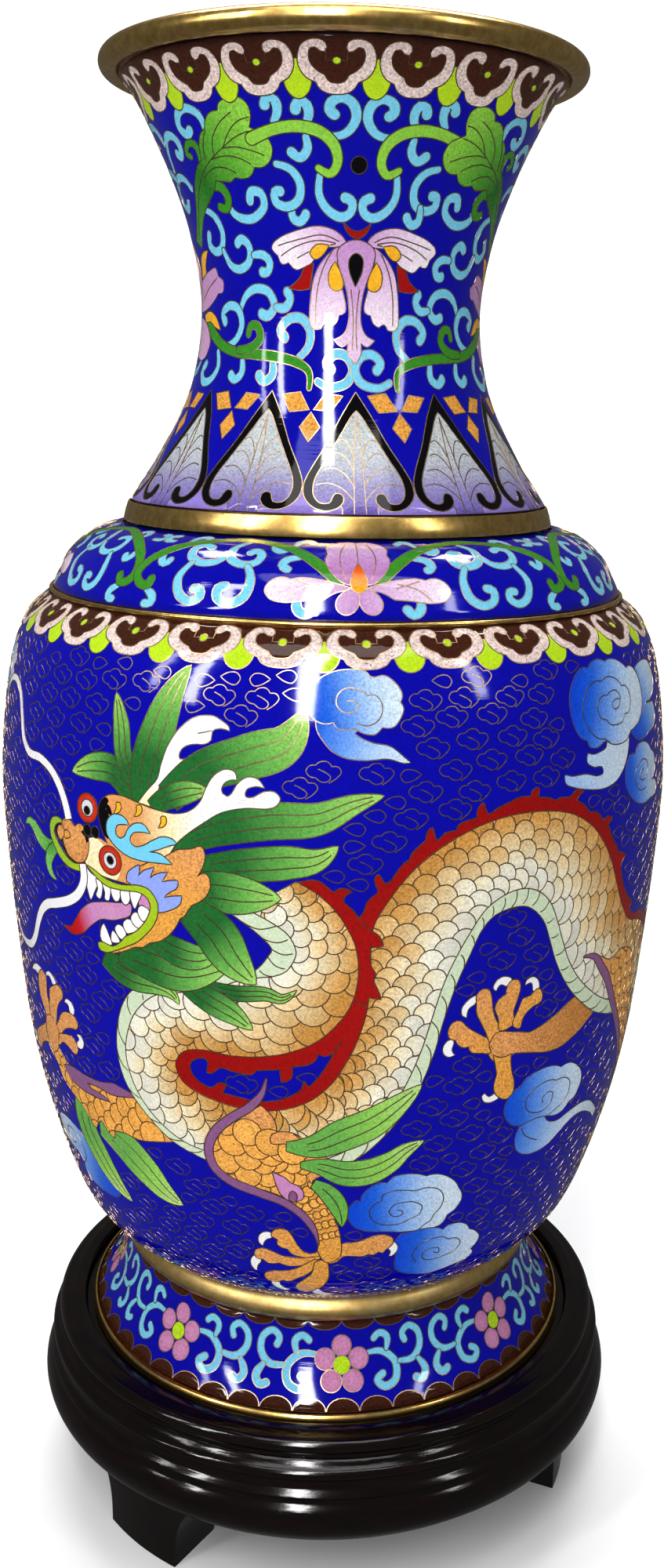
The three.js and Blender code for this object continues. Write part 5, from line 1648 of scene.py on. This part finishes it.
def enamel_mesh(name, band, art, flat, triangles, shown):
    """The field as a closed shell of glass, with its colours, joined up behind."""
    left, right, bottom, top = art.box
    colours = paint_corners(art, flat, triangles, shown)
    used, triangles = np.unique(triangles, return_inverse=True)
    triangles = triangles.reshape(-1, 3)
    flat = flat[used]
    a, b, c = flat[triangles.T]
    area = np.cross(b - a, c - a)
    turned_over = area < 0
    triangles[turned_over] = triangles[turned_over][:, ::-1]
    colours[turned_over] = colours[turned_over][:, ::-1]
    points = [band.place(flat[:, 0], flat[:, 1], -ENAMEL_DROP)]
    total = len(flat)
    faces = [triangles]
    rows = []
    for edge in (bottom, top):
        on_edge = np.flatnonzero(np.abs(flat[:, 1] - edge) < 1e-4)
        on_edge = on_edge[np.argsort(flat[on_edge, 0])]
        inner = np.arange(total, total + len(on_edge))
        total += len(on_edge)
        points.append(band.place(flat[on_edge, 0], flat[on_edge, 1], -ENAMEL_DEEP))
        low, high = (inner, on_edge) if edge == bottom else (on_edge, inner)
        for i in range(len(on_edge) - 1):
            faces.append(np.array([(low[i], low[i + 1], high[i + 1]), (low[i], high[i + 1], high[i])]))
        rows.append((inner, flat[on_edge, 0]))
    around = np.linspace(left, right, 97)
    middle = []
    for s in np.linspace(bottom, top, max(3, int((top - bottom) / 9)))[1:-1]:
        middle.append((np.arange(total, total + len(around)), around))
        points.append(band.place(around, np.full(len(around), s), -ENAMEL_DEEP))
        total += len(around)
    stack = [rows[0]] + middle + [rows[1]]
    for (low, low_x), (high, high_x) in zip(stack[:-1], stack[1:]):
        faces.append(np.array(zip_strip(low, low_x, high, high_x))[:, ::-1])
    faces = np.concatenate(faces)
    points = np.concatenate(points)
    thing = new_mesh(name, points, faces)
    data = thing.data
    shade = np.tile(BEHIND_GLASS, (len(faces) * 3, 1))
    shade[: colours.size // 4] = colours.reshape(-1, 4)
    attribute = data.color_attributes.new("glass", "FLOAT_COLOR", "CORNER")
    attribute.data.foreach_set("color", shade.ravel())
    work = bmesh.new()
    work.from_mesh(data)
    bmesh.ops.remove_doubles(work, verts=work.verts, dist=2e-6)
    work.to_mesh(data)
    work.free()
    return thing


# ---------------------------------------------------------------- finishes
def node_material(name):
    """An empty node material and its surface shader."""
    material = bpy.data.materials.new(name)
    material.use_nodes = True
    nodes = material.node_tree.nodes
    nodes.clear()
    out = nodes.new("ShaderNodeOutputMaterial")
    shader = nodes.new("ShaderNodeBsdfPrincipled")
    material.node_tree.links.new(shader.outputs["BSDF"], out.inputs["Surface"])
    return material, shader


def place_noise(material, stretch=(1, 1, 1), **settings):
    """A noise texture in the piece's own metres, stretched along its axes."""
    tree = material.node_tree
    where = tree.nodes.new("ShaderNodeTexCoord")
    mapping = tree.nodes.new("ShaderNodeMapping")
    mapping.inputs["Scale"].default_value = stretch
    texture = tree.nodes.new("ShaderNodeTexNoise")
    for key, value in settings.items():
        texture.inputs[key].default_value = value
    tree.links.new(where.outputs["Object"], mapping.inputs["Vector"])
    tree.links.new(mapping.outputs["Vector"], texture.inputs["Vector"])
    return texture


def ramp(material, source, stops):
    """A colour ramp over a texture's value."""
    tree = material.node_tree
    node = tree.nodes.new("ShaderNodeValToRGB")
    marks = node.color_ramp.elements
    while len(marks) < len(stops):
        marks.new(0.5)
    for mark, (at, colour) in zip(marks, stops):
        mark.position = at
        mark.color = (*colour, 1)
    tree.links.new(source, node.inputs["Fac"])
    return node


def bump(material, shader, height, strength, distance):
    """Makes the shader's surface uneven by a texture's value."""
    tree = material.node_tree
    node = tree.nodes.new("ShaderNodeBump")
    node.inputs["Strength"].default_value = strength
    node.inputs["Distance"].default_value = distance
    tree.links.new(height, node.inputs["Height"])
    tree.links.new(node.outputs["Normal"], shader.inputs["Normal"])


def multiplied(material, share, colour, by):
    """The colour times another one, as far as share says."""
    tree = material.node_tree
    mix = tree.nodes.new("ShaderNodeMix")
    mix.data_type = "RGBA"
    mix.blend_type = "MULTIPLY"
    tree.links.new(share, mix.inputs["Factor"])
    tree.links.new(colour, mix.inputs["A"])
    tree.links.new(by, mix.inputs["B"])
    return mix.outputs["Result"]


def enamel_look():
    """Glass enamel: the cell's colour, ground glass grains, faint turning marks, all under gloss."""
    material, shader = node_material("enamel")
    tree = material.node_tree
    glass = tree.nodes.new("ShaderNodeAttribute")
    glass.attribute_name = "glass"
    grains = place_noise(material, Scale=1500.0, Detail=3.0, Roughness=0.65)
    tints = [(0.33, (0.60, 0.60, 0.63)), (0.5, (1, 1, 1)), (0.67, (1.38, 1.36, 1.32))]
    tint = ramp(material, grains.outputs["Fac"], tints)
    grainy = multiplied(material, glass.outputs["Alpha"], glass.outputs["Color"], tint.outputs["Color"])
    specks = place_noise(material, Scale=2600.0, Detail=1.0, Roughness=0.4)
    dark = ramp(material, specks.outputs["Fac"], [(0.27, (0.28, 0.22, 0.22)), (0.36, (1, 1, 1))])
    spotted = multiplied(material, glass.outputs["Alpha"], grainy, dark.outputs["Color"])
    tree.links.new(spotted, shader.inputs["Base Color"])
    shader.inputs["Roughness"].default_value = 0.07
    shader.inputs["IOR"].default_value = 1.5
    shader.inputs["Specular IOR Level"].default_value = 0.5
    turning = place_noise(material, (12, 12, 900), Scale=1.0, Detail=3.0, Roughness=0.6)
    bump(material, shader, turning.outputs["Fac"], 0.14, 0.0002)
    return material


def metal_look(name, light, dark, roughness, grain=400.0, strength=0.1):
    """Old polished metal: two tones, and a slightly worn surface."""
    material, shader = node_material(name)
    cloudy = place_noise(material, Scale=grain, Detail=4.0, Roughness=0.6)
    tone = ramp(material, cloudy.outputs["Fac"], [(0.35, dark), (0.65, light)])
    material.node_tree.links.new(tone.outputs["Color"], shader.inputs["Base Color"])
    shader.inputs["Metallic"].default_value = 1.0
    shader.inputs["Roughness"].default_value = roughness
    bump(material, shader, cloudy.outputs["Fac"], strength, 0.0002)
    return material


def wood_look():
    """Near-black red lacquer on turned wood, with a hint of its grain."""
    material, shader = node_material("lacquered_wood")
    grain = place_noise(material, (90, 90, 700), Scale=1.0, Detail=5.0, Roughness=0.6)
    tones = [(0.35, (0.0016, 0.0006, 0.0005)), (0.7, (0.007, 0.002, 0.0015))]
    tone = ramp(material, grain.outputs["Fac"], tones)
    material.node_tree.links.new(tone.outputs["Color"], shader.inputs["Base Color"])
    shader.inputs["Roughness"].default_value = 0.11
    shader.inputs["Specular IOR Level"].default_value = 0.6
    bump(material, shader, grain.outputs["Fac"], 0.3, 0.0003)
    return material


def lining_look():
    """Plain turquoise enamel inside, mottled."""
    material, shader = node_material("lining_glaze")
    spots = place_noise(material, Scale=700.0, Detail=5.0, Roughness=0.7)
    tone = ramp(material, spots.outputs["Fac"], [(0.35, (0.01, 0.17, 0.28)), (0.65, (0.05, 0.34, 0.45))])
    material.node_tree.links.new(tone.outputs["Color"], shader.inputs["Base Color"])
    shader.inputs["Roughness"].default_value = 0.22
    bump(material, shader, spots.outputs["Fac"], 0.1, 0.0003)
    return material


def plain_look(name, light, dark, roughness, scale):
    """A matt surface of two close tones."""
    material, shader = node_material(name)
    spots = place_noise(material, Scale=scale, Detail=3.0, Roughness=0.5)
    tone = ramp(material, spots.outputs["Fac"], [(0.3, dark), (0.7, light)])
    material.node_tree.links.new(tone.outputs["Color"], shader.inputs["Base Color"])
    shader.inputs["Roughness"].default_value = roughness
    return material


def coat(thing, material, body, slot, *nodes):
    """Gives a piece its finish and its place in the model, and hides the CAD nodes it takes over."""
    thing.data.materials.clear()
    thing.data.materials.append(material)
    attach(thing, body)
    if nodes:
        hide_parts(*nodes)


# ---------------------------------------------------------------- turned parts
ROUND = 192  # facets round a turned part
SHARP = math.radians(35)  # turns steeper than this stay sharp edges


def arc(cx, cz, radius, first, last, parts):
    """Points of an arc, angles in degrees."""
    a = np.radians(np.linspace(first, last, parts + 1))
    return [(cx + radius * math.cos(k), cz + radius * math.sin(k)) for k in a]


def turned(name, section, around=ROUND):
    """A closed section [radius, height] in mm, spun round the axis."""
    section = np.array(section, float)
    edge = np.roll(section, -1, 0)
    if (section[:, 0] * edge[:, 1] - edge[:, 0] * section[:, 1]).sum() < 0:
        section = section[::-1]
    a = np.arange(around) * math.tau / around
    count = len(section)
    radii, heights = section.T
    places = [np.outer(np.sin(a), radii), -np.outer(np.cos(a), radii), np.tile(heights, (around, 1))]
    points = np.stack(places, -1).reshape(-1, 3) * MM
    faces = []
    for i in range(around):
        j = (i + 1) % around
        for k in range(count):
            m = (k + 1) % count
            faces.append((i * count + k, j * count + k, j * count + m, i * count + m))
    thing = new_mesh(name, points, faces)
    thing.data.set_sharp_from_angle(angle=SHARP)
    return thing


def disc(name, edge, around=ROUND):
    """A solid turned piece that reaches the axis; its edge runs from the bottom to the top."""
    edge = [(0.0, edge[0][1])] + edge + [(0.0, edge[-1][1])]
    piece = turned(name, edge, around)
    work = bmesh.new()
    work.from_mesh(piece.data)
    bmesh.ops.remove_doubles(work, verts=work.verts, dist=1e-6)
    work.to_mesh(piece.data)
    work.free()
    return piece


# ---------------------------------------------------------------- the four enamelled bands
FOOT_LINE = [(75.0, 58.2), (70.3, 63.5), (66, 72), (63.6, 80)]
BELLY_LINE = [
    (66.5, 88.9), (76.3, 98), (82.4, 110), (89.4, 133), (94.2, 157), (97.3, 186), (99.3, 212),
    (100.18, 233), (98.9, 252), (96.3, 268.5), (91.7, 280.3), (85.4, 286.3),
]
SHOULDER_LINE = [(84.2, 288.2), (82.4, 292), (79.2, 297.9), (72.2, 303.8), (64, 306.4)]
NECK_LINE = [
    (61.3, 312.9), (52.1, 327.3), (43.6, 345), (40.4, 366), (43.3, 386), (49.5, 404), (58.2, 422),
    (63.1, 428.4),
]

ENAMEL = enamel_look()
WIRE = metal_look("copper_wire", (0.66, 0.48, 0.30), (0.38, 0.26, 0.15), 0.33, 900.0)
BRASS = metal_look("brass", (0.97, 0.68, 0.25), (0.72, 0.47, 0.14), 0.26)
# The waist band's brass: rougher for its satin finish, and its lighter base colour is painted light,
# standing in for the light the band catches.
SATIN_BRASS_PAINTED_LIGHT = metal_look("satin_brass_painted_light", (1.0, 0.76, 0.34), (0.86, 0.58, 0.21), 0.40)
COPPER = metal_look("copper", (0.75, 0.40, 0.24), (0.50, 0.22, 0.12), 0.35)
WOOD = wood_look()
LINING = lining_look()
DOWEL = plain_look("dowel_wood", (0.32, 0.19, 0.1), (0.2, 0.11, 0.055), 0.6, 300.0)

GROUND_SHARES = 3  # pieces that the many small wires of a ground are shared out over


def build_band(name, line, r0, art, ground_wires=()):
    """One enamelled band: its glass, and the wires between its cells."""
    band = Band(line, r0)
    flat, triangles, shown = arrange(art)
    glass = enamel_mesh(f"{name}_glass", band, art, flat, triangles, shown)
    coat(glass, ENAMEL, "vase", "enamel", f"{name}_enamel")
    lines = wire_runs(art, flat, triangles, shown) + shown_parts(art, Raster(art))
    coat(wires_mesh(f"{name}_wires", band, lines), WIRE, "vase", "copper")
    for k in range(GROUND_SHARES if ground_wires else 0):
        share = wires_mesh(f"{name}_ground_wires_{k + 1}", band, ground_wires[k::GROUND_SHARES])
        coat(share, WIRE, "vase", "copper")


SEED = 7


def belly_art():
    """The dragon among clouds."""
    round_mm = math.tau * BELLY_R0
    left = RUYI_AT - 13.5 * round_mm / RUYI_ROUND
    art = Drawing(left, left + round_mm, 0, BELLY_TOP, plain(COBALT, 0.5))
    rng = np.random.default_rng(SEED)
    draw_clouds(art)
    draw_back_legs(art, rng)
    body = draw_body(art, rng)
    draw_fin(art, body)
    draw_far_side(art, rng)
    draw_front_leg(art, rng)
    draw_head(art)
    ruyi_border(art, RUYI_ROUND, BELLY_BORDER, 1, 1)
    return art, fill_ground(art, rng)


art, motifs = belly_art()
build_band("belly", BELLY_LINE, BELLY_R0, art, motifs)
build_band("neck", NECK_LINE, NECK_R0, neck_art())
build_band("shoulder", SHOULDER_LINE, SHOULDER_R0, shoulder_art())
build_band("foot", FOOT_LINE, FOOT_R0, foot_art())

# ---------------------------------------------------------------- metal, lining and wood

def skin(name, lines, top, back, ends):
    """A turned shell between two depths under the joined profiles, carried on to two more ends if given."""
    path = [Band(line, 1.0) for line in lines]
    line = np.concatenate([b.line for b in path])
    out = np.concatenate([b.out for b in path])
    if ends:
        line = np.vstack([[ends[0]], line, [ends[1]]])
        out = np.vstack([out[:1], out, out[-1:]])
    keep = np.arange(0, len(line), 4)
    keep = np.append(keep, len(line) - 1) if keep[-1] != len(line) - 1 else keep
    line, out = line[keep], out[keep]
    return turned(name, np.concatenate([line - out * top, (line - out * back)[::-1]]))


BODY_LINES = [BELLY_LINE, SHOULDER_LINE]
# How many mm under the enamel's surface the two sides of a skin are, then its finish.
COPPER_SKIN = (1.3, 2.5, COPPER, "copper")
LINING_SKIN = (2.8, 3.4, LINING, "lining")
low, high = NECK_LINE[0], NECK_LINE[-1]
copper_ends = ((low[0] + 1.6, low[1] - 5.2), (high[0] + 2.4, high[1] + 2.4))
lining_ends = (low, (high[0] + 1.9, high[1] + 2.1))
for name, lines, (top, back, material, slot), node, ends in (
    ("neck_shell", [NECK_LINE], COPPER_SKIN, "neck_copper", copper_ends),
    ("neck_glaze", [NECK_LINE], LINING_SKIN, "neck_lining", lining_ends),
    ("body_shell", BODY_LINES, COPPER_SKIN, "body_copper", None),
    ("body_glaze", BODY_LINES, LINING_SKIN, "body_lining", None),
    ("foot_shell", [FOOT_LINE], COPPER_SKIN, "foot_copper", None),
):
    coat(skin(name, lines, top, back, ends), material, "vase", slot, node)

COLLAR = [
    (62.4, 306.9), (63.3, 306.9), (63.4, 307.4), (62.85, 309.8), (62.1, 312.0), (61.9, 312.3),
    (61.5, 312.3), (61.9, 309.8),
]
WAIST = [
    (62.0, 80.3), (63.6, 80.3), (64.8, 80.8), (65.8, 81.8), (66.3, 83.0), (66.3, 84.0), (65.9, 85.2),
    (65.2, 86.5), (64.7, 87.2), (64.6, 88.0), (63.0, 88.0), (62.0, 84.0),
]
FOOT_BAND = [
    (71.6, 55), (76.2, 55), (76.7, 55.3), (76.9, 56.0), (76.6, 57.2), (76.2, 57.7), (75.7, 57.8),
    (75.2, 57.2), (74.4, 56.2), (71.6, 56.2),
]
for name, section, material, node in (
    ("rim", arc(65.5, 431.66, 3.16, 0, 360, 32)[:-1], BRASS, "rim_ring"),
    ("shoulder_band", arc(84.6, 287.2, 0.69, 0, 360, 12)[:-1], BRASS, "shoulder_wire"),
    ("collar", COLLAR, BRASS, "collar_band"),
    # the waist band's lighter brass colour is painted light
    ("waist", WAIST, SATIN_BRASS_PAINTED_LIGHT, "waist_band"),
    ("foot_band", FOOT_BAND, BRASS, "foot_ring"),
):
    coat(turned(name, section), material, "vase", "brass", node)


def cut(thing, cutter):
    """Cuts one mesh object out of another, for good."""
    change = thing.modifiers.new("cut", "BOOLEAN")
    change.object = cutter
    change.solver = "EXACT"
    bpy.context.view_layer.update()
    done = bpy.data.meshes.new_from_object(thing.evaluated_get(bpy.context.evaluated_depsgraph_get()))
    thing.modifiers.clear()
    thing.data = done
    bpy.data.objects.remove(cutter)


STAND_PARTS = 3
FIRST_FOOT = -43.5  # degrees
RING_BOTTOM = 25.0
FOOT_OUTER, FOOT_INNER = 81.0, 62.0
FOOT_SPREAD = 21.0  # degrees at the ground
FOOT_FLARE = 0.6  # how much wider a foot is where it meets the ring
PEG_CENTRE, PEG_HOLE = 77.0, 3.3


def peg_hole(angle, low, high):
    """A round bar where a foot's peg goes."""
    bar = disc("bar", [(PEG_HOLE, low), (PEG_HOLE, high)], 24)
    work = bmesh.new()
    work.from_mesh(bar.data)
    bmesh.ops.translate(work, verts=work.verts, vec=(0, -PEG_CENTRE * MM, 0))
    bmesh.ops.rotate(work, verts=work.verts, matrix=Matrix.Rotation(angle, 3, "Z"))
    work.to_mesh(bar.data)
    work.free()
    return bar


ring = turned(
    "ring",
    [(79.3, 48.7), (79.3, 57.0), (79.6, 57.4), (82.0, 57.95), (82.6, 57.9)]
    + arc(85.2, 54.8, 2.3, 100, -75, 14)
    + [(86.2, 51.6), (86.9, 51.2), (87.4, 50.7)]
    + arc(87.9, 47.8, 1.9, 75, -70, 12)
    + [(88.7, 44.9), (88.8, 43.8), (89.2, 43.2)]
    + [(90.2, 42.4), (90.5, 41.7), (89.9, 40.9)]
    + arc(84.3, 34.2, 8.0, 44, -60, 22)
    + [(87.2, 26.4), (86.4, 25.2), (86.0, 25.0), (72.0, 25.0), (72.0, 48.7)],
)
coat(ring, WOOD, "stand", "lacquered_wood", "stand_ring")
for k in range(STAND_PARTS):
    cut(ring, peg_hole(math.radians(FIRST_FOOT + 360 / STAND_PARTS * k), 20.0, 38.0))
deck = disc("deck", [(79, 49.2), (79, 54.5), (78.8, 54.7)])
coat(deck, WOOD, "stand", "lacquered_wood", "stand_deck")


def stand_foot(name, angle):
    """A curved block that spreads upwards like a bracket."""
    across, levels = 14, 10
    half = math.radians(FOOT_SPREAD / 2)
    height = RING_BOTTOM - 0.3
    points, faces = [], []
    for j in range(levels + 1):
        level = j / levels
        wide = 1 + FOOT_FLARE * level**3
        for radius, ways in ((FOOT_OUTER, range(across + 1)), (FOOT_INNER, range(across, -1, -1))):
            for i in ways:
                a = half * (2 * i / across - 1)
                points.append((radius * math.sin(a) * wide, -radius * math.cos(a), height * level))
    count = 2 * (across + 1)
    for j in range(levels):
        for i in range(count):
            m = (i + 1) % count
            faces.append((j * count + i, j * count + m, (j + 1) * count + m, (j + 1) * count + i))
    for i in range(across):
        a, b, c, d = i, i + 1, count - 2 - i, count - 1 - i
        top = levels * count
        faces.append((d, c, b, a))
        faces.append((top + a, top + b, top + c, top + d))
    spin = np.array(Matrix.Rotation(angle, 3, "Z"))
    block = new_mesh(name, np.array(points) @ spin.T * MM, faces)
    block.data.set_sharp_from_angle(angle=math.radians(40))
    return block


for k in range(STAND_PARTS):
    angle = math.radians(FIRST_FOOT + 360 / STAND_PARTS * k)
    block = stand_foot(f"foot_{k + 1}", angle)
    coat(block, WOOD, "stand", "lacquered_wood", f"stand_foot_{k + 1}")
    cut(block, peg_hole(angle, 12.0, 30.0))


def paper_sweep():
    """The pale floor, curving up behind into a backdrop."""
    path = [(-5.0, 0.0), (1.0, 0.0)] + [
        (1.0 + 0.9 * math.sin(a), 0.9 - 0.9 * math.cos(a)) for a in np.linspace(0.1, math.pi / 2, 16)
    ] + [(1.9, 3.5)]
    points = [(x, y, z) for y, z in path for x in (-5.0, 5.0)]
    faces = [(2 * k, 2 * k + 1, 2 * k + 3, 2 * k + 2) for k in range(len(path) - 1)]
    return new_mesh("floor", points, faces)


floor = paper_sweep()
floor.visible_glossy = False  # as in a dark room, the gloss shows only the windows
floor.data.materials.append(plain_look("paper", (0.82, 0.82, 0.82), (0.8, 0.8, 0.8), 0.9, 2.0))

FINISHES = {
    "enamel": ENAMEL, "lining": LINING, "copper": COPPER, "brass": BRASS, "lacquered_wood": WOOD,
    "dowel_wood": DOWEL,
}
for part in frame["record"]["subparts"]:
    node = frame["nodes"][part["node"]]
    node.data.materials.clear()
    node.data.materials.append(FINISHES[part["material_slot"]])

# ---------------------------------------------------------------- light and camera
world = bpy.data.worlds.new("studio")
scene.world = world
world.use_nodes = True
sky = world.node_tree.nodes["Background"]
sky.inputs["Color"].default_value = (1, 1, 1, 1)
sky.inputs["Strength"].default_value = 0.13


def soft_light(name, place, aim, width, height, watts):
    """A rectangular soft light at place, facing aim."""
    lamp = bpy.data.lights.new(name, "AREA")
    lamp.shape = "RECTANGLE"
    lamp.size = width
    lamp.size_y = height
    lamp.energy = watts
    thing = bpy.data.objects.new(name, lamp)
    thing.location = place
    thing.rotation_euler = (Vector(aim) - Vector(place)).to_track_quat("-Z", "Y").to_euler()
    scene.collection.objects.link(thing)


BELLY_MIDDLE = (0, 0, 0.28)
soft_light("front_window", (-0.2, -1.2, 1.1), BELLY_MIDDLE, 0.17, 1.3, 18)
soft_light("left_window", (-0.95, -0.85, 1.0), BELLY_MIDDLE, 0.1, 0.9, 6.0)
soft_light("far_left_window", (-1.15, -0.58, 1.0), BELLY_MIDDLE, 0.08, 0.7, 2.0)
soft_light("right_window", (0.95, -0.8, 1.0), BELLY_MIDDLE, 0.1, 0.7, 2.5)
soft_light("ceiling_panel", (0.0, -0.45, 1.4), (0, 0, 0.3), 0.9, 0.5, 3.6)
soft_light("backdrop_light", (0.0, 0.9, 2.3), (0, 1.5, 0.2), 2.0, 0.6, 60)

PITCH, YAW, ROLL = 0.2197, 0.0225, 0.02  # how the camera looks down, right and leans, in radians
CAMERA_AT = Vector((0.0, -0.46311, 0.34122))
SENSOR, FOCAL_LENGTH = 36, 35.197  # mm
SHIFT = (-0.02313, -0.02449)  # of the picture, as shares of its longer side
ahead = Vector((math.cos(PITCH) * math.sin(YAW), math.cos(PITCH) * math.cos(YAW), -math.sin(PITCH)))
right = Vector((math.cos(YAW), -math.sin(YAW), 0))
up = Vector((math.sin(PITCH) * math.sin(YAW), math.sin(PITCH) * math.cos(YAW), math.cos(PITCH)))
right, up = right * math.cos(ROLL) + up * math.sin(ROLL), up * math.cos(ROLL) - right * math.sin(ROLL)
lens = bpy.data.cameras.new("camera")
lens.sensor_width = SENSOR
lens.lens = FOCAL_LENGTH
lens.shift_x, lens.shift_y = SHIFT
camera = bpy.data.objects.new("camera", lens)
camera.matrix_world = Matrix((
    (right.x, up.x, -ahead.x, CAMERA_AT.x),
    (right.y, up.y, -ahead.y, CAMERA_AT.y),
    (right.z, up.z, -ahead.z, CAMERA_AT.z),
    (0, 0, 0, 1),
))
scene.collection.objects.link(camera)
scene.camera = camera
scene.view_settings.view_transform = "Standard"
scene.view_settings.gamma = 0.88
